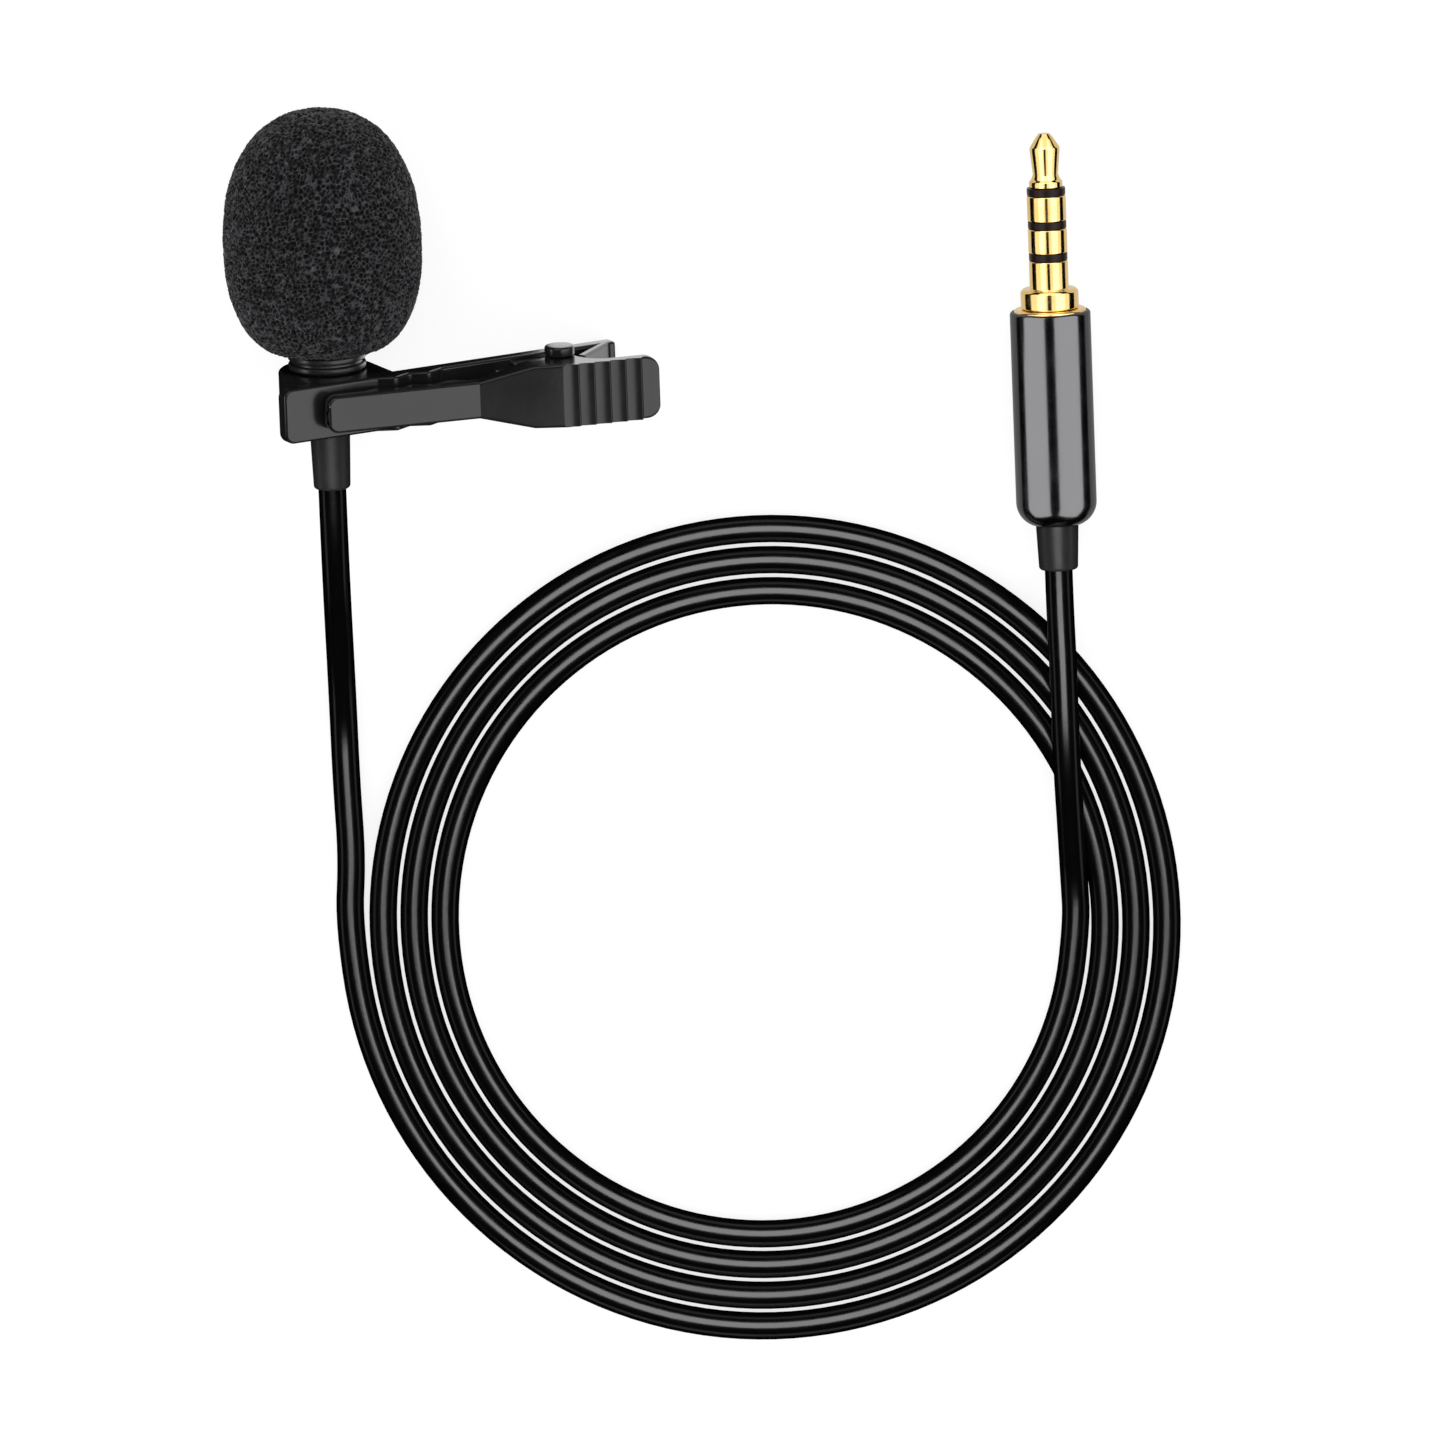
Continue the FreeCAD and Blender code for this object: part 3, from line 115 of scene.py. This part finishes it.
class Surface:
    """A material with a Principled shader and the nodes that vary its colour, roughness and relief."""

    def __init__(self, name, colour, roughness, **settings):
        self.material = bpy.data.materials.new(name)
        self.material.use_nodes = True
        self.nodes = self.material.node_tree.nodes
        self.links = self.material.node_tree.links
        self.shader = next(n for n in self.nodes if n.type == "BSDF_PRINCIPLED")
        self.shader.inputs["Base Color"].default_value = (*colour, 1)
        self.shader.inputs["Roughness"].default_value = roughness
        for socket, value in settings.items():
            self.shader.inputs[socket.replace("_", " ")].default_value = value
        self.place = self.nodes.new("ShaderNodeTexCoord").outputs["Object"]

    def noise(self, scale, detail):
        made = self.nodes.new("ShaderNodeTexNoise")
        made.inputs["Scale"].default_value = scale
        made.inputs["Detail"].default_value = detail
        self.links.new(self.place, made.inputs["Vector"])
        return made.outputs["Fac"]

    def cells(self, scale):
        """Distance to the nearest of a scatter of points."""
        made = self.nodes.new("ShaderNodeTexVoronoi")
        made.inputs["Scale"].default_value = scale
        self.links.new(self.place, made.inputs["Vector"])
        return made.outputs["Distance"]

    def spread(self, source, low, high, to_low, to_high):
        """Maps source from low..high to to_low..to_high, held at the ends."""
        made = self.nodes.new("ShaderNodeMapRange")
        sockets = ("From Min", "From Max", "To Min", "To Max")
        for socket, value in zip(sockets, (low, high, to_low, to_high)):
            made.inputs[socket].default_value = value
        self.links.new(source, made.inputs["Value"])
        return made.outputs["Result"]

    def ramp(self, source, stops):
        made = self.nodes.new("ShaderNodeValToRGB")
        elements = made.color_ramp.elements
        while len(elements) < len(stops):
            elements.new(0.5)
        for element, (position, colour) in zip(elements, stops):
            element.position = position
            element.color = (*colour, 1)
        self.links.new(source, made.inputs["Fac"])
        return made.outputs["Color"]

    def product(self, first, second):
        made = self.nodes.new("ShaderNodeMath")
        made.operation = "MULTIPLY"
        self.links.new(first, made.inputs[0])
        self.links.new(second, made.inputs[1])
        return made.outputs["Value"]

    def attribute(self, name):
        made = self.nodes.new("ShaderNodeAttribute")
        made.attribute_name = name
        return made.outputs["Fac"]

    def mixed(self, factor, first, second):
        """Mix of two colours; each is an RGB triple or an output."""
        made = self.nodes.new("ShaderNodeMix")
        made.data_type = "RGBA"
        self.links.new(factor, made.inputs["Factor"])
        for socket, colour in ((made.inputs[6], first), (made.inputs[7], second)):
            if isinstance(colour, tuple):
                socket.default_value = (*colour, 1)
            else:
                self.links.new(colour, socket)
        return made.outputs[2]

    def drive(self, socket, source):
        self.links.new(source, self.shader.inputs[socket])

    def uneven(self, source, roughness, mottle):
        """Roughness that wanders by the mottle to each side of its value."""
        self.drive("Roughness", self.spread(source, 0.3, 0.7, roughness - mottle, roughness + mottle))

    def relief(self, source, depth, strength=1.0):
        """Bump of that depth in metres, added to any that is there already."""
        made = self.nodes.new("ShaderNodeBump")
        made.inputs["Strength"].default_value = strength
        made.inputs["Distance"].default_value = depth
        self.links.new(source, made.inputs["Height"])
        normal = self.shader.inputs["Normal"]
        if normal.is_linked:
            self.links.new(normal.links[0].from_socket, made.inputs["Normal"])
        self.links.new(made.outputs["Normal"], normal)


def plastic(name, colour, roughness, mottle=0.06, grain=900, depth=0.004 * MM, **settings):
    """Moulded plastic or lacquer: uneven gloss and a faint orange peel."""
    made = Surface(name, colour, roughness, **settings)
    made.uneven(made.noise(grain / 6, 4), roughness, mottle)
    made.relief(made.noise(grain, 3), depth)
    return made.material


def rubber(name, colour, roughness=0.5):
    """Matte rubber with a fine pebbled skin."""
    made = Surface(name, colour, roughness, Specular_IOR_Level=0.45)
    made.uneven(made.noise(500, 4), roughness, 0.08)
    made.relief(made.noise(4500, 2), 0.006 * MM)
    return made.material


def metal(name, colour, roughness, mottle=0.05):
    """Bare or coated metal with uneven gloss. The surface is given back, for more to be added."""
    made = Surface(name, colour, roughness, Metallic=1.0)
    made.uneven(made.noise(400, 4), roughness, mottle)
    return made


def foam_surface():
    """Open-cell foam: pores painted near black as shade in their hollows, charcoal walls, and a few painted glints
    where struts would catch the light.
    """
    made = Surface("foam", (0.03, 0.028, 0.031), 0.85, Specular_IOR_Level=0.3, Sheen_Weight=0.12)
    wall = made.attribute("wall")
    # Painted shade: the colour darkens towards the pore centres, the hollows of the skin, down to near black.
    tone = made.ramp(
        wall,
        (
            (0.0, (0.0005, 0.0004, 0.0006)),
            (0.5, (0.0048, 0.0042, 0.0052)),
            (1.0, (0.085, 0.079, 0.088)),
        ),
    )
    # Painted highlights: sparse pale specks in the colour, standing in for glints of struts that catch the light.
    painted_glint = made.spread(made.cells(5200), 0.0, 0.22, 1.0, 0.0)
    chance = made.spread(made.noise(2100, 1), 0.6, 0.68, 0.0, 1.0)
    made.drive("Base Color", made.mixed(made.product(painted_glint, chance), tone, (0.3, 0.29, 0.3)))
    made.relief(made.cells(4200), 0.09 * MM, 0.7)
    made.relief(made.noise(9000, 2), 0.03 * MM, 0.5)
    return made.material


def gilt_surface():
    """Gold plate: mirror bright, with faint turning marks and a warm tarnish in patches."""
    made = metal("gilt", (1.0, 0.70, 0.25), 0.12, 0.04)
    tone = made.ramp(made.noise(300, 4), ((0.3, (0.95, 0.62, 0.2)), (0.7, (1.0, 0.74, 0.3))))
    made.drive("Base Color", tone)
    made.relief(made.noise(1500, 2), 0.003 * MM)
    return made.material


MATERIALS = {
    "foam": foam_surface(),
    "mic_metal": plastic("mic_metal", (0.012, 0.012, 0.013), 0.26, 0.05, 1200),
    "soft_rubber": rubber("soft_rubber", (0.01, 0.01, 0.01)),
    "felt": rubber("felt", (0.08, 0.08, 0.08), 0.85),
    "capsule_aluminium": metal("capsule_aluminium", (0.72, 0.72, 0.74), 0.32).material,
    "capsule_brass": metal("capsule_brass", (0.75, 0.58, 0.3), 0.3).material,
    "inner_plastic": plastic("inner_plastic", (0.6, 0.58, 0.54), 0.5),
    "board": plastic("board", (0.01, 0.09, 0.035), 0.4),
    "relief_rubber": rubber("relief_rubber", (0.012, 0.012, 0.0125), 0.36),
    "wire_red": plastic("wire_red", (0.4, 0.02, 0.015), 0.45),
    "wire_bare": plastic("wire_bare", (0.7, 0.7, 0.68), 0.45),
    "clip_plastic": plastic(
        "clip_plastic", (0.006, 0.006, 0.0065), 0.2, 0.05, 700, 0.006 * MM
    ),
    "pin_metal": plastic("pin_metal", (0.008, 0.008, 0.0085), 0.2, 0.04),
    "spring_steel": metal("spring_steel", (0.42, 0.42, 0.44), 0.3).material,
    "cable_jacket": plastic(
        "cable_jacket", (0.0008, 0.0008, 0.0009), 0.2, 0.03, 2500, 0.002 * MM
    ),
    "gilt": gilt_surface(),
    "insulator": plastic(
        "insulator", (0.006, 0.0025, 0.0015), 0.3, Specular_IOR_Level=0.15
    ),
    "barrel_black": metal("barrel_black", (0.2, 0.198, 0.206), 0.17, 0.03).material,
}
for node_name, slot_name in SLOT.items():
    NODES[node_name].data.materials.clear()
    NODES[node_name].data.materials.append(MATERIALS[slot_name])

# ---------------------------------------------------------------- cable

CABLE_RADIUS = 1.25 * MM
COIL_CENTRE = Vector((29.138, -58.2, 1.25)) * MM
COIL_START_RADIUS = 38.83 * MM
COIL_PITCH = 2.79 * MM
COIL_STRETCH = 1.015
COIL_TURNS = 3.5
POINTS_PER_TURN = 24

# Each end starts inside its strain relief and leaves straight, at these heights on that axis.
MIC_EXIT = -8.5 * MM
MIC_STRAIGHT = -16.0 * MM
PLUG_EXIT = -25.53 * MM
PLUG_STRAIGHT = -29.13 * MM

# From the straight part to the coil, in millimetres; the plug's end passes over the coil.
MIC_ROUTE = ((-9.12, -37.4, 1.27), (-8.78, -45.6, 1.25), (-8.292, -52.6, 1.25))
PLUG_ROUTE = ((55.71, -34.5, 4.0), (56.06, -43.4, 4.1), (56.51, -49.8, 2.5), (56.803, -54.5, 1.25))


def coil_points():
    """Flat spiral inwards, from the left by the near side, a little longer than wide. A control
    point stands outside the curve that it makes, by the polygon's own ratio."""
    outside = 1 / math.cos(math.pi / POINTS_PER_TURN)
    points = []
    count = round(POINTS_PER_TURN * COIL_TURNS)
    for i in range(count + 1):
        turns = 0.5 + i / POINTS_PER_TURN
        angle = turns * 2 * math.pi
        radius = (COIL_START_RADIUS - COIL_PITCH * turns) * outside
        across = Vector((math.cos(angle), math.sin(angle) * COIL_STRETCH, 0))
        points.append(COIL_CENTRE + across * radius)
    return points


def lead_points(place, leave, straight, route):
    """One end of the cable, from its strain relief to the coil."""
    heights = (leave, straight)
    return [place @ Vector((0, 0, z)) for z in heights] + [Vector(p) * MM for p in route]


def cable():
    """The whole cable in one curve: microphone lead, coil and plug lead over the coil."""
    mic_lead = lead_points(MIC, MIC_EXIT, MIC_STRAIGHT, MIC_ROUTE)
    plug_lead = lead_points(PLUG, PLUG_EXIT, PLUG_STRAIGHT, PLUG_ROUTE)
    points = mic_lead + coil_points() + plug_lead[::-1]
    curve = bpy.data.curves.new("cable", "CURVE")
    curve.dimensions = "3D"
    curve.bevel_depth = CABLE_RADIUS
    curve.bevel_resolution = 8
    curve.resolution_u = 6
    curve.use_fill_caps = True
    spline = curve.splines.new("NURBS")
    spline.points.add(len(points) - 1)
    for knot, point in zip(spline.points, points):
        knot.co = (*point, 1)
    spline.order_u = 3
    spline.use_endpoint_u = True
    made = bpy.data.objects.new("cable", curve)
    bpy.context.scene.collection.objects.link(made)
    curve.materials.append(MATERIALS["cable_jacket"])
    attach(made, BODY["mic"])
    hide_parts("mic_lead", "cable_coil", "plug_lead")
    return made, mic_lead[0]


cable_piece, cable_exit = cable()

# ---------------------------------------------------------------- turned pieces

SAME_RING = 0.003 * MM
SEGMENTS = 128
SHARP = math.radians(18)
SMOOTH_UP_TO = math.radians(50)
LONGEST_ROUND = 0.4
ROUND_POINTS = 4
ON_AXIS = 1e-6
TURNED_EDGE = 0.08 * MM
RELIEF_EDGE = 0.15 * MM
PIN_EDGE = 0.2 * MM
PLUG_NODES = (
    "plug_tip",
    "plug_insulator_one",
    "plug_insulator_two",
    "plug_insulator_three",
    "plug_ring_one",
    "plug_ring_two",
    "plug_sleeve",
    "plug_rim",
    "plug_barrel",
    "plug_strain_relief",
)


def profile_of(node, place):
    """Outline of a turned CAD node, as (radius, height) points in order, and whether it closes."""
    to_local = place.inverted()
    corners = []
    belongs = []
    for vertex in node.data.vertices:
        p = to_local @ vertex.co
        here = Vector((math.hypot(p.x, p.y), p.z))
        match = next((i for i, c in enumerate(corners) if (c - here).length < SAME_RING), None)
        if match is None:
            match = len(corners)
            corners.append(here)
        belongs.append(match)
    neighbours = {i: set() for i in range(len(corners))}
    for edge in node.data.edges:
        a, b = (belongs[i] for i in edge.vertices)
        if a != b:
            neighbours[a].add(b)
            neighbours[b].add(a)
    ends = [i for i, near in neighbours.items() if len(near) == 1]
    chain = [ends[0] if ends else 0]
    while True:
        last = corners[chain[-1]]
        onward = [i for i in neighbours[chain[-1]] if i not in chain]
        if not onward:
            break
        chain.append(min(onward, key=lambda i: (corners[i] - last).length))
    return [corners[i] for i in chain], not ends


def softened(chain, closed, edge):
    """The outline with its corners rounded by about that much."""
    points = [Vector(p) for p in chain]
    count = len(points)
    made = []
    for i, point in enumerate(points):
        if not closed and i in (0, count - 1):
            made.append(point)
            continue
        before = points[i - 1] - point
        after = points[(i + 1) % count] - point
        turn = math.pi - before.angle(after)
        if turn < SHARP:
            made.append(point)
            continue
        reach = min(edge, before.length * LONGEST_ROUND, after.length * LONGEST_ROUND)
        start = point + before.normalized() * reach
        end = point + after.normalized() * reach
        for step in range(ROUND_POINTS):
            t = step / (ROUND_POINTS - 1)
            made.append(start * (1 - t) ** 2 + point * 2 * t * (1 - t) + end * t**2)
    return made


def turned(node_name, place, body, edge):
    """A smooth turned piece on the outline of a CAD node, with softened corners."""
    chain, closed = profile_of(NODES[node_name], place)
    outline = softened(chain, closed, edge)
    bm = bmesh.new()
    rings = []
    for radius, height in outline:
        count = 1 if radius < ON_AXIS else SEGMENTS
        ring = []
        for i in range(count):
            angle = 2 * math.pi * i / SEGMENTS
            local = Vector((radius * math.cos(angle), radius * math.sin(angle), height))
            ring.append(bm.verts.new(place @ local))
        rings.append(ring)
    pairs = list(zip(rings, rings[1:]))
    if closed:
        pairs.append((rings[-1], rings[0]))
    for lower, upper in pairs:
        for i in range(SEGMENTS):
            j = (i + 1) % SEGMENTS
            if len(lower) == 1:
                bm.faces.new((lower[0], upper[j], upper[i]))
            elif len(upper) == 1:
                bm.faces.new((lower[i], lower[j], upper[0]))
            else:
                bm.faces.new((lower[i], lower[j], upper[j], upper[i]))
    if not closed:
        for ring in (rings[0], rings[-1]):
            if len(ring) > 1:
                bm.faces.new(ring)
    return finished(bm, node_name, f"{node_name}_turned", body)


def finished(bm, node_name, name, body=None):
    """Puts a mesh in the scene in place of a CAD node, with outward faces and smooth shading. It
    rides on the body, if one is given."""
    bmesh.ops.recalc_face_normals(bm, faces=bm.faces)
    mesh = bpy.data.meshes.new(name)
    bm.to_mesh(mesh)
    bm.free()
    for face in mesh.polygons:
        face.use_smooth = True
    mesh.set_sharp_from_angle(angle=SMOOTH_UP_TO)
    made = bpy.data.objects.new(name, mesh)
    bpy.context.scene.collection.objects.link(made)
    mesh.materials.append(MATERIALS[SLOT[node_name]])
    if body:
        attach(made, body)
    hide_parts(node_name)
    return made


housing_piece = turned("mic_housing", MIC, BODY["mic"], TURNED_EDGE)
mic_relief_piece = turned("mic_strain_relief", MIC, BODY["mic"], RELIEF_EDGE)
pin_piece = turned("hinge_pin", PIN, BODY["clip"], PIN_EDGE)
plug_turned = {name: turned(name, PLUG, BODY["mic"], TURNED_EDGE) for name in PLUG_NODES}

# ---------------------------------------------------------------- moulded clip

# Places on the lever are in its own frame, along it from the pin and out from it. A crease is a
# level where its width or face changes, which stays crisp beside the rounded edges.
MOULDED_EDGE = 0.28 * MM
RIDGE_EDGE = 0.06 * MM
RIDGE_START = -1.0 * MM
RIDGE_END = 6.6 * MM
RIDGE_FACE = -3.8 * MM
STEP_CREASES = (-8.2 * MM, -7.8 * MM, -0.9 * MM, 0.3 * MM)
CREASE_TOLERANCE = 0.02 * MM
FLAT_WITHIN = math.radians(0.5)


def is_sharp(edge):
    return len(edge.link_faces) == 2 and edge.calc_face_angle() > SHARP


def rounded(bm, edge, wanted, clamp=True):
    """Rounds the sharp edges that are wanted."""
    sharp = [e for e in bm.edges if is_sharp(e) and wanted(e)]
    bmesh.ops.bevel(
        bm,
        geom=sharp,
        offset=edge,
        offset_type="OFFSET",
        segments=3,
        profile=0.5,
        affect="EDGES",
        clamp_overlap=clamp,
    )


def on_ridges(edge):
    """Whether an edge belongs to the thumb ridges, whose steps are small."""
    places = [LEVER.inverted() @ vert.co for vert in edge.verts]
    return all(RIDGE_START < p.x < RIDGE_END and p.y < RIDGE_FACE for p in places)


def moulded(node_name, body):
    """A copy of a moulded CAD node with rounded edges."""
    bm = bmesh.new()
    bm.from_mesh(NODES[node_name].data)
    bmesh.ops.remove_doubles(bm, verts=bm.verts, dist=WELD)
    bmesh.ops.dissolve_limit(bm, angle_limit=FLAT_WITHIN, verts=bm.verts, edges=bm.edges)
    rounded(bm, MOULDED_EDGE, lambda edge: not on_ridges(edge), False)
    rounded(bm, RIDGE_EDGE, on_ridges)
    made = finished(bm, node_name, f"{node_name}_moulded", body)
    creases = made.data.attributes["sharp_edge"].data
    for edge in made.data.edges:
        ends = [LEVER.inverted() @ made.data.vertices[i].co for i in edge.vertices]
        if any(all(abs(p.x - at) < CREASE_TOLERANCE for p in ends) for at in STEP_CREASES):
            creases[edge.index].value = True
    weighted = made.modifiers.new("weighted", "WEIGHTED_NORMAL")
    weighted.keep_sharp = True
    return made


def spring():
    """The torsion spring: a smooth-shaded copy of the CAD node, left in place and riding on no body."""
    bm = bmesh.new()
    bm.from_mesh(NODES["torsion_spring"].data)
    bmesh.ops.remove_doubles(bm, verts=bm.verts, dist=WELD)
    made = finished(bm, "torsion_spring", "torsion_spring_twisting")
    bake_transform(made)


clip_pieces = [moulded("clip_body", BODY["clip"]), moulded("clip_lever", BODY["lever"])]
spring()

# ---------------------------------------------------------------- windscreen

FOAM_RADIUS = 9.0 * MM
FOAM_WIDE = 13.95 * MM
FOAM_TOP = 26.25 * MM
FOAM_BOTTOM = 4.05 * MM
FOAM_HOLE = 3.12 * MM
FOAM_HOLE_TOP = 18.45 * MM
CAP_POWER = 2.25
FOOT_POWER = 2.5
FOAM_FOOT = 3.0 * MM
FOOT_ROUND = 0.3 * MM
FLAT_REACH = 12
HOLE_WALL_SHARE = 0.7
CELL = 0.42 * MM
WALL_SPREAD = 0.55
PORE_DEPTH = 0.4 * MM
UNEVEN = 0.05 * MM
LUMP_SCALE = 3.7
SWELL_SIZE = 2.2 * MM
FOAM_SIDE = 126


def foam_point(direction):
    """Point of the foam's skin, in the microphone's frame, in a direction from its widest level."""
    flat = math.hypot(direction.x, direction.y)
    up = direction.z > 0
    power = CAP_POWER if up else FOOT_POWER
    height = FOAM_TOP - FOAM_WIDE if up else FOAM_WIDE - FOAM_FOOT
    scale = ((flat / FOAM_RADIUS) ** power + (abs(direction.z) / height) ** power) ** (-1 / power)
    point = Vector((0, 0, FOAM_WIDE)) + direction * scale
    above = (point.z - FOAM_BOTTOM) / FOOT_ROUND
    if above < FLAT_REACH:
        point.z = FOAM_BOTTOM + FOOT_ROUND * math.log(1 + math.exp(above))
    return point


def with_hole(point):
    """Turns the skin over the microphone's hole into the hole's wall and end."""
    flat = math.hypot(point.x, point.y)
    if point.z > FOAM_WIDE or flat > FOAM_HOLE:
        return point, False
    inwards = 1 - flat / FOAM_HOLE
    if inwards < HOLE_WALL_SHARE:
        radius = FOAM_HOLE
        height = FOAM_BOTTOM + (FOAM_HOLE_TOP - FOAM_BOTTOM) * inwards / HOLE_WALL_SHARE
    else:
        radius = FOAM_HOLE * (1 - inwards) / (1 - HOLE_WALL_SHARE)
        height = FOAM_HOLE_TOP
    if flat < 1e-9:
        return Vector((0, 0, height)), True
    return Vector((point.x / flat * radius, point.y / flat * radius, height)), True


def foam_ball():
    """The foam's skin as an even mesh of quads, made from the six sides of a cube."""
    bm = bmesh.new()
    bmesh.ops.create_grid(bm, x_segments=FOAM_SIDE, y_segments=FOAM_SIDE, size=1)
    panel = [v.co.copy() for v in bm.verts]
    quads = [[v.index for v in f.verts] for f in bm.faces]
    bm.free()
    bm = bmesh.new()
    turns = [Matrix.Rotation(math.radians(a), 4, "X") for a in (0, 90, 180, 270)]
    turns += [Matrix.Rotation(math.radians(a), 4, "Y") for a in (90, 270)]
    for turn in turns:
        verts = []
        for co in panel:
            across = (math.tan(c * math.pi / 4) for c in (co.x, co.y))
            on_cube = turn @ Vector((*across, 1))
            verts.append(bm.verts.new(foam_point(on_cube.normalized())))
        for quad in quads:
            bm.faces.new([verts[i] for i in quad])
    bmesh.ops.remove_doubles(bm, verts=bm.verts, dist=WELD)
    bmesh.ops.recalc_face_normals(bm, faces=bm.faces)
    bm.normal_update()
    return bm


def windscreen():
    """Foam ball of open cells: a dense skin whose pores are real hollows."""
    bm = foam_ball()
    walls = bm.verts.layers.float.new("wall")
    for vert in bm.verts:
        skin = vert.co.copy()
        spacing, nearest = noise.voronoi(skin / CELL)
        wall = 1 - min(1.0, max(0.0, (spacing[1] - spacing[0]) / WALL_SPREAD))
        lump = noise.noise(nearest[0] * LUMP_SCALE)
        swell = noise.noise(skin / SWELL_SIZE)
        pore = PORE_DEPTH * (1 - wall) * (0.75 + 0.5 * lump)
        depth = pore + UNEVEN * (1 - swell) + UNEVEN * (1 + lump)
        hollow, inside = with_hole(skin)
        # The stored wall value also sets the colour: low at the pores, where the foam's material paints shade.
        vert[walls] = wall * (0.75 + 0.35 * lump)
        vert.co = MIC @ (hollow if inside else skin - vert.normal * depth)
    return finished(bm, "windscreen", "foam_windscreen", BODY["foam"])


foam_piece = windscreen()

# ---------------------------------------------------------------- stage and light


FLOOR_REACH = 3.0
FLOOR_GLOW = 0.8
WORLD_STRENGTH = 1.05
LIGHT_REACH = 0.5
OVERHEAD = 0.7


def floor():
    """Pale table that glows a little, and neither shades the pieces nor shows in them."""
    mesh = bpy.data.meshes.new("floor")
    corners = [(x * FLOOR_REACH, y * FLOOR_REACH, 0) for x, y in ((-1, -1), (1, -1), (1, 1), (-1, 1))]
    mesh.from_pydata(corners, [], [(0, 1, 2, 3)])
    made = bpy.data.objects.new("floor", mesh)
    bpy.context.scene.collection.objects.link(made)
    pale = Surface("floor", (0.3, 0.3, 0.3), 0.9, Specular_IOR_Level=0.0)
    pale.shader.inputs["Emission Color"].default_value = (1, 1, 1, 1)
    pale.shader.inputs["Emission Strength"].default_value = FLOOR_GLOW
    mesh.materials.append(pale.material)
    made.visible_glossy = False
    made.visible_shadow = False


def studio():
    """Even white surroundings, which don't show in the pieces."""
    world = bpy.data.worlds.new("studio")
    world.use_nodes = True
    background = world.node_tree.nodes["Background"]
    background.inputs["Color"].default_value = (1, 1, 1, 1)
    background.inputs["Strength"].default_value = WORLD_STRENGTH
    world.cycles_visibility.glossy = False
    bpy.context.scene.world = world
    bpy.context.scene.view_settings.view_transform = "Standard"


def softbox(name, place, aim, width, length, radiance, lit):
    """Rectangular softbox that lights the pieces in lit alone."""
    light = bpy.data.lights.new(name, "AREA")
    light.shape = "RECTANGLE"
    light.size = width
    light.size_y = length
    light.energy = radiance * math.pi * width * length
    made = bpy.data.objects.new(name, light)
    made.location = place
    made.rotation_euler = (Vector(place) - Vector(aim)).to_track_quat("Z", "Y").to_euler()
    bpy.context.scene.collection.objects.link(made)
    group = bpy.data.collections.new(f"{name}_lit")
    for piece in lit:
        group.objects.link(piece)
    made.light_linking.receiver_collection = group


def ring_light(name, aim, azimuth, near, far, length, radiance, lit):
    """Softbox beside the aim, seen from it between two angles from straight overhead, in degrees."""
    side = Vector((math.cos(math.radians(azimuth)), math.sin(math.radians(azimuth)), 0))
    ends = []
    for angle in (near, far):
        out = math.sin(math.radians(angle)) * LIGHT_REACH
        up = math.cos(math.radians(angle)) * LIGHT_REACH
        ends.append(aim + side * out + Vector((0, 0, up)))
    place = (ends[0] + ends[1]) / 2
    softbox(name, place, aim, length, (ends[0] - ends[1]).length, radiance, lit)


def under_light(name, aim, radiance, lit):
    """Light from below the table, for the lower edges of a shiny round piece."""
    softbox(name, aim - Vector((0, -0.05, 0.25)), aim, 1.2, 0.9, radiance, lit)


def overhead_light(name, size, radiance, lit):
    """Square light on the camera's line, above the whole object."""
    place = CAMERA_TARGET + TO_CAMERA * OVERHEAD
    softbox(name, place, CAMERA_TARGET, size, size, radiance, lit)


floor()
studio()

plug_middle = PLUG @ Vector((0, 0, -5 * MM))
gilt_pieces = [p for name, p in plug_turned.items() if SLOT[name] in ("gilt", "insulator")]
for side_name, azimuth, near, far, length, radiance in (
    ("left", 180, 9, 80, 1.2, 1.15),
    ("left_core", 180, 20, 48, 1.2, 1.2),
    ("right", 0, 7, 84, 1.2, 1.15),
    ("right_core", 0, 26, 60, 1.2, 1.2),
    ("behind", 90, 20, 88, 0.5, 1.2),
):
    ring_light(f"gilt_{side_name}", plug_middle, azimuth, near, far, length, radiance, gilt_pieces)
under_light("gilt_under", plug_middle, 0.7, gilt_pieces)

barrel_pieces = [plug_turned["plug_barrel"]]
ring_light("barrel_left", plug_middle, 180, 18, 88, 1.2, 1.5, barrel_pieces)
ring_light("barrel_right", plug_middle, 0, 10, 84, 1.2, 1.5, barrel_pieces)
under_light("barrel_under", plug_middle, 0.3, barrel_pieces)

cable_pieces = [cable_piece, mic_relief_piece, plug_turned["plug_strain_relief"]]
overhead_light("cable_overhead", 0.56, 5.4, cable_pieces)
overhead_light("foam_overhead", 0.6, 0.8, [foam_piece, housing_piece])

clip_middle = Vector(hinge["pos_m"])
clip_lit = [*clip_pieces, pin_piece, housing_piece]
beside_pad = Vector((41.5, 20, 0)) * MM
ring_light("clip_right", clip_middle, -10, 14, 78, 0.5, 2.0, clip_lit)
ring_light("clip_left", clip_middle, 180, 60, 76, 0.3, 3.0, clip_lit)
softbox("clip_under", beside_pad - Vector((0, 0, 0.03)), beside_pad, 0.067, 0.12, 1.7, clip_lit)
ring_light("clip_behind", clip_middle, 110, 30, 62, 0.4, 1.2, clip_lit)

# Low lights all round give the dark pieces some form from the other sides.
dark_pieces = [*clip_lit, *cable_pieces]
for side_name, azimuth, near in (
    ("front", -90, 70),
    ("behind", 90, 66),
    ("right", 0, 72),
    ("left", 180, 72),
):
    ring_light(f"low_{side_name}", CAMERA_TARGET, azimuth, near, 88, 0.6, 0.5, dark_pieces)
